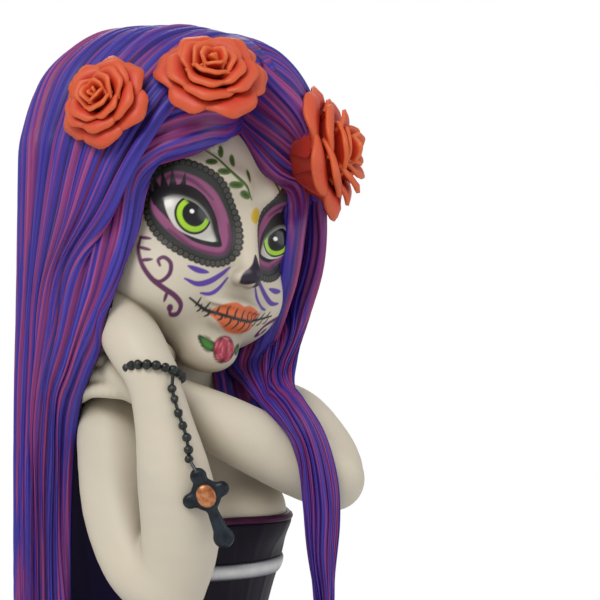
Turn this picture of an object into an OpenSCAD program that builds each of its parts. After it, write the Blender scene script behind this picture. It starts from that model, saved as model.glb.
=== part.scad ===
// Standing catrina figure: a big-headed girl in a corset and a tiered floor-length skirt,
// with long hair, three roses and a string of beads with a cross round her right wrist.
// The origin is under the middle of the felt pad. +Z is up and the chest faces -Y.
// "Right" and "left" are the figure's own.

/* [Base] */
// Diameter of the base
base_d = 120; // [116:0.5:130]
// Thickness of the base
base_h = 6; // [5:0.5:7]
// Thickness of the felt pad under it
felt_h = 1; // [0.5:0.5:2]

/* [Skirt] */
// Height of the waist above the base
skirt_h = 91; // [88:1:96]
// Diameter of the hollow skirt core at its foot
skirt_foot_d = 96; // [90:1:98]
// Wall of the skirt core
skirt_wall = 2.4; // [1.6:0.2:3]
// Number of folds in each flounce
folds = 14; // [10:1:18]
// Depth of a fold at the hem
fold_depth = 1.6; // [1:0.1:1.8]

/* [Body] */
// Half width of the waist
waist_w = 12; // [11:0.5:13]
// Thickness of the corset
corset_t = 1.2; // [0.8:0.1:1.6]
// Diameter of the pins in the shoulders, elbows and wrists
pin_d = 2; // [1.5:0.1:2.4]
// Diameter of the wooden post
post_d = 8; // [6:0.5:9]
// Diameter of the dowel in the neck
dowel_d = 5; // [4:0.5:6]

/* [Head and hair] */
// How far the face is turned towards her left shoulder
head_turn = 15; // [11:0.5:16]
// How far the head leans towards her left shoulder
head_lean = 11; // [9:0.5:13]
// Diameter of a rose
rose_d = 19; // [16:0.5:21]
// Diameter of the wire pin behind a rose
rose_pin_d = 1.2; // [0.8:0.1:1.6]

/* [Beads and cross] */
// Diameter of a bead
bead_d = 1.7; // [1.4:0.1:1.9]
// Height of the cross
cross_h = 19; // [16:0.5:20]

/* [Hidden] */

gap = 0.1;          // clearance between glued pieces
sides = 12;         // sides of a limb's cross-section
finger_sides = 8;
slice_t = 0.5;      // thickness of the slices that a limb is built from
base_top = felt_h + base_h;
waist_z = base_top + skirt_h;
screw_d = 4;
screw_length = 20;
washer_d = 10;
washer_h = 1;
screw_head_d = 7.5;
screw_head_h = 2.4;

// Joints of the body, from the middle of the waist
right_shoulder = [-20, 1, 45];
right_elbow = [-15.2, -18, 14.5];
right_wrist = [-20, -20.8, 53.5];
left_shoulder = [20, 1, 45];
left_elbow = [17, -24, 33.4];
left_wrist = [-13.5, -12, 49.8];
head_middle = [-6, 2.5, 78];
post_top = 40;

// Roses: [middle of the back, turn, tilt, share of the diameter], from the middle of the waist
right_rose = [[-26, -13.6, 103.2], -59, 70.5, 0.97];
crown_rose = [[-9.2, -22.6, 106.2], -22.5, 52.5, 1.13];
left_rose = [[20, -13.5, 97.5], 50, 82, 1.3];
rose_pin_length = 9;

// Trim and flounces: height of the gathered top and of the hem above the base, and their radii
lower_tier = [36, 39.4, 1.2, 55];
middle_tier = [60, 29.2, 32, 47];
upper_tier = [82, 18.1, 57, 36.5];
flounce_t = 1.4;
trim_h = 4;
trim_t = 0.9;

// ---- Points and curves ----

function unit(v) = v / norm(v);
function place(s) = [s[0], s[1], s[2]];

// A point on a smooth curve that passes through b at t = 0 and c at t = 1
function between(a, b, c, d, t) =
    0.5 * (2 * b + (c - a) * t + (2 * a - 5 * b + 4 * c - d) * t * t
    + (3 * b - a - 3 * c + d) * t * t * t);

// The smooth curve through every station, with the given number of steps from one to the next
function smooth(s, steps) =
    let (last = len(s) - 1)
    [for (i = [0:last - 1], k = [0:steps - 1])
        between(s[max(i - 1, 0)], s[i], s[i + 1], s[min(i + 2, last)], k / steps),
     s[last]];

// ---- Solids along a curve ----

// A flat elliptical slice at a station [x, y, z, half width, half depth], square to the direction
module slice(station, direction, facing, corners) {
    across = unit(cross(direction, facing));
    front = cross(across, direction);
    p = place(station);
    multmatrix([
        [across[0], front[0], direction[0], p[0]],
        [across[1], front[1], direction[1], p[1]],
        [across[2], front[2], direction[2], p[2]],
        [0, 0, 0, 1]])
        scale([station[3], station[4], 1])
            cylinder(r = 1, h = slice_t, center = true, $fn = corners);
}

// A limb through stations [x, y, z, half width, half depth]. The width runs across both the curve and
// the facing direction. The ends are rounded, by a share of their half width.
module limb(stations, steps = 3, facing = [0, -1, 0], corners = sides, ends = [1, 1]) {
    path = smooth(stations, steps);
    last = len(path) - 1;
    for (i = [0:last - 1])
        hull() {
            slice(path[i], direction_at(path, i), facing, corners);
            slice(path[i + 1], direction_at(path, i + 1), facing, corners);
        }
    end_cap(path[0], -direction_at(path, 0), ends[0], facing, corners);
    end_cap(path[last], direction_at(path, last), ends[1], facing, corners);
}

function direction_at(path, i) =
    unit(place(path[min(i + 1, len(path) - 1)]) - place(path[max(i - 1, 0)]));

// The rounded end of a limb
module end_cap(station, direction, share, facing, corners) {
    reach = share * min(station[3], station[4]);
    hull()
        for (angle = [0, 35, 65]) {
            p = place(station) + direction * reach * sin(angle);
            narrower = [p[0], p[1], p[2], station[3] * cos(angle), station[4] * cos(angle)];
            slice(narrower, direction, facing, corners);
        }
}

// A gathered ring: the profile is a closed list of [radius, height, fold depth]
module gathered_ring(profile) {
    steps = folds * 5;
    rows = len(profile);
    points = [for (row = profile, k = [0:steps - 1])
        let (angle = 360 * k / steps, r = row[0] + row[2] * cos(folds * angle))
        [r * cos(angle), r * sin(angle), row[1]]];
    faces = [for (i = [0:rows - 1], k = [0:steps - 1])
        let (a = i * steps, b = ((i + 1) % rows) * steps, next = (k + 1) % steps)
        each [[a + k, b + k, b + next], [a + k, b + next, a + next]]];
    polyhedron(points, faces, convexity = 6);
}

module at_waist() {
    translate([0, 0, waist_z]) children();
}

module at_head() {
    at_waist() translate(head_middle) rotate([-2.4, head_lean, head_turn]) children();
}

// A straight pin with its middle at a point and its axis along a direction
module pin_at(middle, direction, diameter, length) {
    d = unit(direction);
    translate(middle)
        rotate([0, acos(d[2]), atan2(d[1], d[0])])
            cylinder(d = diameter, h = length, center = true, $fn = 20);
}

// ---- Base ----

module felt_pad() {
    color("black") cylinder(d = base_d - 6, h = felt_h, $fn = 128);
}

module base() {
    edge = 1.2;
    color("#221428")
        difference() {
            rotate_extrude($fn = 128)
                polygon([
                    [0, felt_h], [base_d / 2 - edge, felt_h], [base_d / 2, felt_h + edge],
                    [base_d / 2, base_top - 2 * edge], [base_d / 2 - 2 * edge, base_top], [0, base_top]]);
            translate([0, 0, felt_h - 1])
                cylinder(d = washer_d + 2, h = 1 + screw_head_h + washer_h, $fn = 48);
            cylinder(d = screw_d + 0.3, h = base_top + 1, $fn = 24);
        }
}

module base_screw() {
    head_z = felt_h;
    color("silver")
        difference() {
            union() {
                translate([0, 0, head_z]) cylinder(d = screw_head_d, h = screw_head_h, $fn = 32);
                translate([0, 0, head_z]) cylinder(d = screw_d, h = screw_length, $fn = 24);
            }
            translate([0, 0, head_z - 0.5]) cylinder(d = 3, h = 2, $fn = 6);
        }
}

module base_washer() {
    color("silver")
        translate([0, 0, felt_h + screw_head_h])
            difference() {
                cylinder(d = washer_d, h = washer_h, $fn = 32);
                translate([0, 0, -1]) cylinder(d = screw_d + 0.3, h = washer_h + 2, $fn = 24);
            }
}

module armature_post() {
    color("burlywood")
        difference() {
            translate([0, 0, base_top]) cylinder(d = post_d, h = waist_z + post_top - base_top, $fn = 32);
            translate([0, 0, base_top - 1]) cylinder(d = screw_d, h = screw_length, $fn = 24);
        }
}

// ---- Skirt ----

// Outline of the skirt core, from its foot to the waist
function skirt_outline(inset) = [
    [skirt_foot_d / 2 - inset, base_top],
    [skirt_foot_d * 0.475 - inset, base_top + skirt_h * 0.18],
    [skirt_foot_d * 0.405 - inset, base_top + skirt_h * 0.4],
    [skirt_foot_d * 0.3 - inset, base_top + skirt_h * 0.66],
    [skirt_foot_d * 0.19 - inset, base_top + skirt_h * 0.89],
    [waist_w + 0.8 - inset, waist_z - 2]];

module skirt_shell() {
    color("#1B1024")
        rotate_extrude($fn = 96)
            difference() {
                polygon(concat([[0, base_top]], skirt_outline(0), [[0, waist_z - 2]]));
                intersection() {
                    polygon(concat([[0, base_top]], skirt_outline(skirt_wall), [[0, waist_z - 2]]));
                    translate([0, base_top - 1]) square([base_d, skirt_h - 1 - skirt_wall]);
                }
                translate([0, base_top - 1]) square([post_d / 2 + gap, skirt_h + 2]);
            }
}

// A tier is [top height, top radius, hem height, hem radius]; a point on it at t = 0 (top) to 1 (hem)
function tier_point(tier, t, out) = [
    tier[1] + (tier[3] - tier[1]) * (1 - cos(90 * t)) * 0.55 + (tier[3] - tier[1]) * t * 0.45 + out,
    base_top + tier[0] + (tier[2] - tier[0]) * t,
    fold_depth * t];

module flounce(tier) {
    rows = [0, 0.5, 1];
    outer = [for (t = rows) tier_point(tier, t, flounce_t)];
    inner = [for (i = [2:-1:0]) tier_point(tier, rows[i], 0)];
    gathered_ring(concat(outer, inner));
}

module trim(tier) {
    t_top = 1 - trim_h / (tier[0] - tier[2]);
    t_foot = 1 - 0.6 / (tier[0] - tier[2]);
    out = flounce_t + gap / 2;
    gathered_ring([
        tier_point(tier, t_top, out + trim_t), tier_point(tier, t_foot, out + trim_t),
        tier_point(tier, t_foot, out), tier_point(tier, t_top, out)]);
}

module lower_flounce() {
    color("#22122C") flounce(lower_tier);
}

module middle_flounce() {
    color("#22122C") flounce(middle_tier);
}

module upper_flounce() {
    color("#22122C") flounce(upper_tier);
}

module lower_trim() {
    color("silver") trim(lower_tier);
}

module middle_trim() {
    color("silver") trim(middle_tier);
}

module upper_trim() {
    color("silver") trim(upper_tier);
}

module waist_sash() {
    hip = waist_w + 5.3;
    color("#4A3068")
        at_waist()
            rotate_extrude($fn = 64)
                polygon([
                    [hip, -8], [hip + 2, -7.4], [waist_w + 4.4, -3.5], [waist_w + 3.2, 0.6], [waist_w + 2, 1],
                    [waist_w + 1.6, -1.9]]);
}

module back_bow() {
    color("#4A3068")
        translate([0, waist_w + 7.4, waist_z - 5])
            union() {
                sphere(d = 4.6, $fn = 12);
                for (side = [-1, 1]) {
                    limb([[side * 1.5, 0, 0, 1.2, 1], [side * 6, 0.6, 1, 3.2, 1.5],
                        [side * 11, 0.6, 0.6, 3.4, 1.4]], 2, corners = finger_sides);
                    limb([[side * 1, 0.5, -1, 1, 0.8], [side * 5, 5.5, -12, 2.6, 0.8],
                        [side * 8, 11.5, -24, 3.2, 0.8]], 2, [0, -1, -0.4], corners = finger_sides);
                }
            }
}

// ---- Body ----

module torso_solid() {
    limb([
        [0, 0, -1, waist_w - 2, waist_w - 4], [0, 0, 6, waist_w, waist_w - 2.5], [0, -1, 17, 15.4, 12],
        [0, -1, 26, 17, 13], [-0.5, 0.5, 36, 17.4, 10], [-1, 1.5, 43.5, 15, 8.5], [-1.5, 2.5, 50, 8.6, 7.2],
        [-2.7, 3, 55.5, 6.6, 6.6], [-4, 3.2, 60.5, 6.4, 6.4]], ends = [0.1, 0.5]);
}

module torso() {
    color("#C9BEA8")
        at_waist()
            difference() {
                torso_solid();
                translate([0, 0, -10]) cylinder(d = post_d + 2 * gap, h = post_top + 10 + gap, $fn = 32);
                neck_dowel_solid(2 * gap);
                shoulder_pins_solid(2 * gap);
            }
}

module corset_outer() {
    limb([
        [0, 0, 1, waist_w + corset_t, waist_w - 2.5 + corset_t],
        [0, 0, 5, waist_w + corset_t, waist_w - 2.5 + corset_t], [0, -1, 16, 15.6 + corset_t, 12 + corset_t],
        [0, -1, 24, 17.4 + corset_t, 12.6 + corset_t], [0, -1, 30, 18 + corset_t, 13 + corset_t]]);
}

corset_top = 24.8;
piping_d = 1.4;
band_z = [14.8, 17.2];

// The part of the corset's outer shape between two heights, swollen by an amount
module corset_slab(low, high, swell) {
    intersection() {
        scale([1 + swell / 18, 1 + swell / 14, 1]) corset_outer();
        translate([-40, -40, low]) cube([80, 80, high - low]);
    }
}

module corset() {
    color("#15091E")
        at_waist()
            difference() {
                corset_slab(-1, corset_top, 0);
                torso_solid();
                translate([0, 0, -10]) cylinder(d = post_d + 2 * gap, h = 20, $fn = 32);
            }
}

module corset_piping() {
    color("#3A1030")
        at_waist()
            difference() {
                corset_slab(corset_top, corset_top + piping_d, 0.4);
                torso_solid();
                arms_solid();
            }
}

module corset_band() {
    color("silver")
        at_waist()
            difference() {
                corset_slab(band_z[0], band_z[1], 0.6);
                corset_outer();
                arms_solid();
            }
}

module neck_dowel_solid(extra) {
    pin_at([-3.9, 2.9, 63], [-3, 0.6, 20], dowel_d + extra, 24 + extra);
}

module neck_dowel() {
    color("burlywood") at_waist() neck_dowel_solid(0);
}

// ---- Arms ----

module right_upper_arm_solid() {
    limb([[-18.5, 1.5, 45.5, 6, 6], [-19.2, -0.7, 39, 6.4, 6.4], [-20.2, -5.4, 28, 6.3, 6.3],
        [-19, -12, 18.5, 6.2, 6.2], [right_elbow[0], right_elbow[1], right_elbow[2], 6, 6]], 2, [-1, -0.4, 0]);
}

module right_forearm_solid() {
    limb([[right_elbow[0] + 0.4, right_elbow[1] - 0.6, right_elbow[2] + 1, 5.2, 5.2],
        [-14.8, -21.6, 25, 6.8, 6.8], [-16.4, -22.3, 35, 6.4, 6.4], [-18.3, -21.9, 45, 4.9, 4.9],
        [right_wrist[0], right_wrist[1], right_wrist[2], 4.1, 4.1]], 2, [-0.5, -0.87, 0], ends = [0.3, 1]);
}

module left_upper_arm_solid() {
    limb([[18.5, 1.5, 45.5, 6, 6], [20.3, -5, 42.5, 6.2, 6.2], [19.8, -15, 37.5, 6, 6],
        [left_elbow[0], left_elbow[1], left_elbow[2], 5.6, 5.6]], 3, [0, 0, 1]);
}

module left_forearm_solid() {
    limb([[left_elbow[0] - 1, left_elbow[1] + 0.4, left_elbow[2], 4.6, 4.6],
        [8.5, -21.8, 37.4, 5.9, 5.9], [-0.7, -18.5, 42.4, 5.6, 5.6], [-7, -15.4, 46, 4.9, 4.9],
        [left_wrist[0], left_wrist[1], left_wrist[2], 3.9, 3.9]], 2, [0, -1, 0.3], ends = [0.3, 1]);
}

module arms_solid() {
    right_upper_arm_solid();
    right_forearm_solid();
    left_upper_arm_solid();
    left_forearm_solid();
}

module shoulder_pins_solid(extra) {
    pin_at(right_shoulder + [3, 0.5, 0], [1, 0, 0], pin_d + extra, 11 + extra);
    pin_at(left_shoulder + [-3, 0.5, 0], [1, 0, 0], pin_d + extra, 11 + extra);
}

module elbow_pins_solid(extra) {
    pin_at(right_elbow + [-0.5, -1.5, 2.5], [-2, -3, 9], pin_d + extra, 9 + extra);
    pin_at(left_elbow + [-2, 0.5, 1], [-8, 3, 5], pin_d + extra, 9 + extra);
}

module wrist_pins_solid(extra) {
    pin_at(right_wrist + [0, 0.3, 1], [0, 3, 8], pin_d + extra, 8 + extra);
    pin_at(left_wrist + [-1, 0.6, 0.4], [-8, 4, 4], pin_d + extra, 8 + extra);
}

module right_upper_arm() {
    color("#C9BEA8")
        at_waist()
            difference() {
                right_upper_arm_solid();
                torso_solid();
                corset_outer();
                shoulder_pins_solid(2 * gap);
                elbow_pins_solid(2 * gap);
            }
}

module right_forearm() {
    color("#C9BEA8")
        at_waist()
            difference() {
                right_forearm_solid();
                right_upper_arm_solid();
                elbow_pins_solid(2 * gap);
                wrist_pins_solid(2 * gap);
            }
}

module left_upper_arm() {
    color("#C9BEA8")
        at_waist()
            difference() {
                left_upper_arm_solid();
                torso_solid();
                corset_outer();
                shoulder_pins_solid(2 * gap);
                elbow_pins_solid(2 * gap);
            }
}

module left_forearm() {
    color("#C9BEA8")
        at_waist()
            difference() {
                left_forearm_solid();
                left_upper_arm_solid();
                torso_solid();
                corset_outer();
                elbow_pins_solid(2 * gap);
                wrist_pins_solid(2 * gap);
            }
}

// The right palm lies along the jaw and its fingers go behind the neck
module right_hand_solid() {
    limb([[-20.2, -20.4, 54.6, 4.2, 4.2], [-21.2, -16.4, 59, 4.8, 4.8], [-21.6, -12, 63, 4.8, 4.8],
        [-21, -7.5, 68, 4.4, 4.4]], 2, [-1, -0.2, 0.2]);
    for (i = [0:3])
        limb([[-21.5 + 0.4 * i, -6.5 + 1.4 * i, 69.5 - 2.6 * i, 1.9, 1.9], [-19, 0.5 + i, 69.5 - 2.5 * i, 1.8, 1.8],
            [-14, 6 + 0.6 * i, 68.5 - 2.4 * i, 1.5, 1.5]], 2, [0, 0, 1], corners = finger_sides);
    limb([[-20, -18, 58, 2.2, 2.2], [-16.6, -15.6, 58.6, 1.9, 1.9], [-13, -12.6, 57.4, 1.5, 1.5]], 2, [0, 0, 1],
        corners = finger_sides);
}

// The left palm rests on the right shoulder
module left_hand_solid() {
    limb([[-14, -11.6, 50.3, 3.8, 3.8], [-17.6, -9.6, 52.6, 4, 4], [-20.4, -7.8, 54.6, 3.9, 3.9]], 2,
        [-0.3, -1, 0.5]);
    for (i = [0:3])
        limb([[-19.5 - 0.2 * i, -10 + 1.1 * i, 50.6 + 2.7 * i, 1.5, 1.5],
            [-24, -8 + 1.2 * i, 50.8 + 2.8 * i, 1.5, 1.5], [-27.6, -3.6 + 1.2 * i, 50.4 + 2.7 * i, 1.4, 1.4],
            [-29, 1.2 + i, 48.6 + 2.5 * i, 1.2, 1.2]], 2, [0, 0, 1], corners = finger_sides);
}

module right_hand() {
    color("#C9BEA8")
        difference() {
            at_waist()
                difference() {
                    right_hand_solid();
                    right_forearm_solid();
                    torso_solid();
                    wrist_pins_solid(2 * gap);
                }
            at_head() head_solid();
        }
}

module left_hand() {
    color("#C9BEA8")
        at_waist()
            difference() {
                left_hand_solid();
                left_forearm_solid();
                right_upper_arm_solid();
                right_forearm_solid();
                torso_solid();
                right_hand_solid();
                wrist_pins_solid(2 * gap);
            }
}

module shoulder_pins() {
    color("silver") at_waist() shoulder_pins_solid(0);
}

module elbow_pins() {
    color("silver") at_waist() elbow_pins_solid(0);
}

module wrist_pins() {
    color("silver") at_waist() wrist_pins_solid(0);
}

// ---- Head and fringe, in the frame of the head: the face looks along -Y. The other hair is in the waist frame ----

module head_solid() {
    limb([
        [0, -11, -23.5, 6.5, 7], [0, -8.5, -20.5, 11.5, 12], [0, -4, -13, 17.5, 18.5], [0, 0, -2, 22.5, 23],
        [0, 1.5, 8, 24.5, 25], [0, 2, 18, 22, 23], [0, 2.5, 26, 14, 15]], 3, ends = [0.25, 0.4]);
    hull() {
        translate([0, -21, -2]) sphere(r = 1, $fn = 10);
        translate([0, -22.8, -8.5]) scale([2.4, 1.8, 1.5]) sphere(r = 1, $fn = 10);
    }
}

module head() {
    color("#C9BEA8")
        difference() {
            at_head() head_solid();
            at_waist() torso_solid();
            at_waist() neck_dowel_solid(2 * gap);
        }
}

// The full crown of hair, from the middle of the waist
module hair_cap_solid() {
    middle = [-5.5, 2.2, 84];
    limb([for (row = [[-21, 0.93], [-8, 0.99], [6, 1], [16, 0.97], [24, 0.9], [30, 0.79], [34.5, 0.61], [36.6, 0.4]])
        [middle[0], middle[1], middle[2] + row[0], 31.3 * row[1], 30.2 * row[1]]], 2, ends = [0.1, 0.1],
        corners = 16);
}

// The open front of the hair, round the face
module face_opening() {
    rotate([90, 0, 0])
        linear_extrude(60)
            polygon([[-40, -45], [-27, -16], [-25, 4], [-20, 14], [-8, 20], [0, 22], [8, 20], [19, 15],
                [24, 4], [26, -16], [40, -45]]);
}

module fringe_right_solid() {
    limb([[-1, -18.5, 29, 3.5, 2.6], [-8, -23, 24, 6, 3], [-17, -21.5, 18, 7, 3.4], [-24, -14.5, 9, 6.5, 3.2],
        [-26, -11, -3, 6, 3]], 3, [-0.75, -0.65, 0.1]);
}

module fringe_left_solid() {
    limb([[2, -18.5, 29, 3.5, 2.6], [8, -22.5, 24, 6, 3], [16.5, -20, 17.5, 7, 3.4], [23, -14, 9, 6, 3],
        [24, -11.5, -2, 5, 2.6]], 3, [0.75, -0.65, 0.1]);
}

module hair_cap() {
    color("#3D2F9E")
        difference() {
            at_waist()
                difference() {
                    hair_cap_solid();
                    rose_cores();
                    rose_pins_solid(2 * gap);
                    torso_solid();
                    right_hand_solid();
                }
            at_head() {
                head_solid();
                face_opening();
                fringe_right_solid();
                fringe_left_solid();
            }
        }
}

module fringe_right() {
    color("#3D2F9E")
        difference() {
            at_head()
                difference() {
                    fringe_right_solid();
                    head_solid();
                }
            at_waist() rose_cores();
        }
}

module fringe_left() {
    color("#3D2F9E")
        difference() {
            at_head()
                difference() {
                    fringe_left_solid();
                    head_solid();
                }
            at_waist() rose_cores();
        }
}

module hair_back_solid() {
    limb([[-5, 16, 84, 28, 15], [-5, 17, 66, 28, 13.5], [-4.5, 19, 45, 26.5, 10], [-4.5, 20, 26, 25, 8.5],
        [-4.5, 20.5, 8, 23, 7.5], [-4.5, 21, -6, 22, 6]], 3, ends = [0.2, 0.8]);
}

module hair_right_solid() {
    limb([[-30.5, -8, 80, 8, 5.5], [-31, -3, 64, 8, 5], [-30, 4, 48, 7, 4.5], [-28.5, 10, 25, 5.5, 4.5],
        [-27, 13, 2, 4.5, 4], [-26, 14, -8, 3, 3]], 2, [-1, -0.3, 0], ends = [0.3, 0.8]);
}

module hair_left_solid() {
    limb([[18, -6.4, 66, 5.2, 3.6], [15.6, -8.5, 61, 4.6, 3.4], [12, -11.5, 54, 4, 3]],
        2, [1, -0.6, 0], ends = [0.3, 0.3]);
}

module front_lock_solid() {
    limb([[10.2, -15.5, 52.2, 4, 2.6], [7.4, -20, 49.8, 4.2, 2.2], [8, -26.6, 45.6, 4.4, 2.2],
        [9.6, -30.8, 38.8, 4.8, 2], [10.6, -32, 29, 5, 2], [10.8, -31, 20.5, 3.8, 1.8],
        [11.4, -29.6, 11.5, 1.4, 1.2]], 2, [-0.2, -1, 0.4]);
}

module hair_back() {
    color("#3D2F9E")
        difference() {
            at_waist()
                difference() {
                    hair_back_solid();
                    torso_solid();
                    arms_solid();
                    right_hand_solid();
                    hair_right_solid();
                }
            at_waist() hair_cap_solid();
            at_head() head_solid();
        }
}

module hair_right() {
    color("#3D2F9E")
        difference() {
            at_waist()
                difference() {
                    hair_right_solid();
                    torso_solid();
                    arms_solid();
                    right_hand_solid();
                    left_hand_solid();
                }
            at_waist() hair_cap_solid();
            at_head() fringe_right_solid();
            at_head() head_solid();
        }
}

module hair_left() {
    color("#3D2F9E")
        difference() {
            at_waist()
                difference() {
                    hair_left_solid();
                    torso_solid();
                    arms_solid();
                }
            at_waist() hair_cap_solid();
            at_head() fringe_left_solid();
            at_head() head_solid();
        }
}

module front_lock() {
    color("#3D2F9E")
        difference() {
            at_waist()
                difference() {
                    front_lock_solid();
                    torso_solid();
                    arms_solid();
                    hair_left_solid();
                }
            at_waist() hair_cap_solid();
            at_head() fringe_left_solid();
            at_head() head_solid();
        }
}

// ---- Roses ----

// A solid from rows of [radius, height, lobe depth, turn], each row a ring with five lobes
module lobed_solid(rows) {
    lobes = 5;
    steps = lobes * 7;
    last = len(rows) - 1;
    points = [for (row = rows, k = [0:steps - 1])
        let (angle = 360 * k / steps, r = row[0] + row[2] * cos(lobes * (angle + row[3])))
        [r * cos(angle), r * sin(angle), row[1]]];
    walls = [for (i = [0:last - 1], k = [0:steps - 1])
        let (a = i * steps, b = a + steps, next = (k + 1) % steps)
        each [[a + k, b + k, b + next], [a + k, b + next, a + next]]];
    foot = [for (k = [0:steps - 1]) k];
    top = [for (k = [steps - 1:-1:0]) last * steps + k];
    polyhedron(points, concat(walls, [foot, top]), convexity = 8);
}

// A rose with its back on the XY plane and its bud along +Z: three whorls of five petals round a bud
module rose_solid(d) {
    outer = 0;
    middle = 36;
    scale(d)
        lobed_solid([
            [0.1, -0.02, 0, outer], [0.3, 0, 0, outer], [0.46, 0.1, 0.05, outer], [0.5, 0.16, 0.06, outer],
            [0.4, 0.14, 0.04, outer], [0.37, 0.13, 0.03, middle], [0.41, 0.27, 0.05, middle],
            [0.36, 0.31, 0.05, middle], [0.27, 0.24, 0.02, middle], [0.26, 0.37, 0.03, outer],
            [0.21, 0.4, 0.03, outer], [0.14, 0.31, 0.01, outer], [0.12, 0.43, 0.01, middle],
            [0.05, 0.45, 0, middle]]);
}

module rose_at(rose) {
    translate(rose[0]) rotate([0, rose[2], rose[1] - 90]) rose_solid(rose_d * rose[3]);
}

// The cores that the roses take up in the hair
module rose_cores() {
    for (rose = [right_rose, crown_rose, left_rose])
        translate(rose[0])
            rotate([0, rose[2], rose[1] - 90])
                translate([0, 0, -0.1])
                    cylinder(d = rose_d * rose[3] * 1.12, h = rose_d, $fn = 24);
}

module rose_pins_solid(extra) {
    for (rose = [right_rose, crown_rose, left_rose])
        translate(rose[0])
            rotate([0, rose[2], rose[1] - 90])
                translate([0, 0, -rose_pin_length / 2 + 3])
                    cylinder(d = rose_pin_d + extra, h = rose_pin_length + extra, center = true, $fn = 16);
}

module rose(rose) {
    color("#D2482A")
        difference() {
            at_waist()
                difference() {
                    rose_at(rose);
                    rose_pins_solid(2 * gap);
                }
            at_head() head_solid();
        }
}

module rose_right() {
    rose(right_rose);
}

module rose_crown() {
    rose(crown_rose);
}

module rose_left() {
    rose(left_rose);
}

module rose_pins() {
    color("silver")
        difference() {
            at_waist() rose_pins_solid(0);
            at_head() head_solid();
        }
}

// ---- Beads and cross ----

wrist_ring_n = 19;

// A ring of beads round the wrist, tipped along the hand
module wrist_beads() {
    color("#101814")
        at_waist()
            translate(right_wrist + [0, -0.2, 1])
                rotate([-14, 16, 0])
                    for (k = [0:wrist_ring_n - 1]) {
                        angle = 360 * k / wrist_ring_n;
                        translate([5.2 * cos(angle), 5.2 * sin(angle), 0]) sphere(d = bead_d - 0.1, $fn = 16);
                    }
}

// The hanging beads lie along the front of the forearm
drop_route = smooth([[-19, -26.6, 52], [-18.2, -27.6, 47.6], [-17.2, -29, 43.2], [-17.2, -29.9, 39.4]], 2);

module drop_beads() {
    color("#101814")
        at_waist()
            for (p = drop_route)
                translate(p) sphere(d = bead_d - 0.2, $fn = 16);
}

cross_middle = [-14.6, -31.4, 33];

module at_cross() {
    at_waist() translate(cross_middle) rotate([6, -22, -28]) children();
}

module cross_outline() {
    arm_w = cross_h * 0.11;
    for (arm = [[90, 0.36], [-90, 0.64], [0, 0.3], [180, 0.3]])
        rotate(arm[0])
            hull() {
                square([0.1, arm_w * 0.8], center = true);
                translate([cross_h * arm[1], 0]) square([0.1, arm_w * 1.5], center = true);
            }
}

module cross_pendant() {
    color("#182028")
        at_cross()
            difference() {
                rotate([90, 0, 0])
                    linear_extrude(1.8, center = true)
                        cross_outline();
                translate([0, -1.4, 0]) rotate([90, 0, 0]) cylinder(d = 3.1, h = 1.6, center = true, $fn = 24);
            }
}

module cross_stone() {
    color("#B87848")
        at_cross()
            translate([0, -1.1, 0])
                rotate([90, 0, 0])
                    union() {
                        cylinder(d = 2.9, h = 0.8, center = true, $fn = 24);
                        translate([0, 0, 0.4])
                            rotate_extrude($fn = 24) polygon([[0, 0], [1.45, 0], [1.1, 0.45], [0, 0.7]]);
                    }
}

felt_pad();
base();
base_screw();
base_washer();
armature_post();
skirt_shell();
lower_flounce();
middle_flounce();
upper_flounce();
lower_trim();
middle_trim();
upper_trim();
waist_sash();
back_bow();
torso();
corset();
corset_piping();
corset_band();
neck_dowel();
head();
right_upper_arm();
right_forearm();
right_hand();
left_upper_arm();
left_forearm();
left_hand();
shoulder_pins();
elbow_pins();
wrist_pins();
hair_cap();
hair_back();
hair_right();
hair_left();
fringe_right();
fringe_left();
front_lock();
rose_right();
rose_crown();
rose_left();
rose_pins();
wrist_beads();
drop_beads();
cross_pendant();
cross_stone();
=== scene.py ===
"""Looks of the standing catrina figure: sculpted head, hair, arms, roses, beads, corset and skirt.

Shapes are worked out in millimetres and written to Blender in metres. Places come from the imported
frame: the boxes of its nodes, the middles of its beads, and the head's own frame.
"""

import math

import bpy
import numpy as np
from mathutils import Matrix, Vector


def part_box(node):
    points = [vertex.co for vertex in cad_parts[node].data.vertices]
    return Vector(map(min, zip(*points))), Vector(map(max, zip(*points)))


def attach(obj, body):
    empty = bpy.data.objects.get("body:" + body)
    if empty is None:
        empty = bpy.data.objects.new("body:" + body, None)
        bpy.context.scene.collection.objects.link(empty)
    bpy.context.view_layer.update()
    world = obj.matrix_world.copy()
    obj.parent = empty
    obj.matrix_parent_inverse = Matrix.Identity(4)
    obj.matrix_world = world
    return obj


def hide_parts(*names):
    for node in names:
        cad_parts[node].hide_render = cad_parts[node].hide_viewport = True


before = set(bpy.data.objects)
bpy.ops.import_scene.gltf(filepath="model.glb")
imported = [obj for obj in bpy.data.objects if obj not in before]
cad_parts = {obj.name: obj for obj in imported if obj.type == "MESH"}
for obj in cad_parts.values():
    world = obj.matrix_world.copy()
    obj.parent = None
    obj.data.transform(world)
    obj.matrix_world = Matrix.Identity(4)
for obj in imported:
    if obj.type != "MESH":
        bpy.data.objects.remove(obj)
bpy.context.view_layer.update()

MM = 0.001
FOLDS = 14  # folds in each flounce, as in the CAD
TAU = 2 * math.pi


# ---- Places taken from the frame, in millimetres ----

def box_mm(node):
    low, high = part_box(node)
    return np.array(low) / MM, np.array(high) / MM


def middle_mm(node):
    low, high = box_mm(node)
    return (low + high) / 2


WAIST_Z = box_mm("corset")[0][2] + 1.0
BASE_TOP = box_mm("base")[1][2]


def up(x, y, z):
    """A point given from the middle of the waist."""
    return np.array([x, y, WAIST_Z + z], float)


def turn_x(degrees):
    c, s = math.cos(math.radians(degrees)), math.sin(math.radians(degrees))
    return np.array([[1, 0, 0], [0, c, -s], [0, s, c]])


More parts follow.
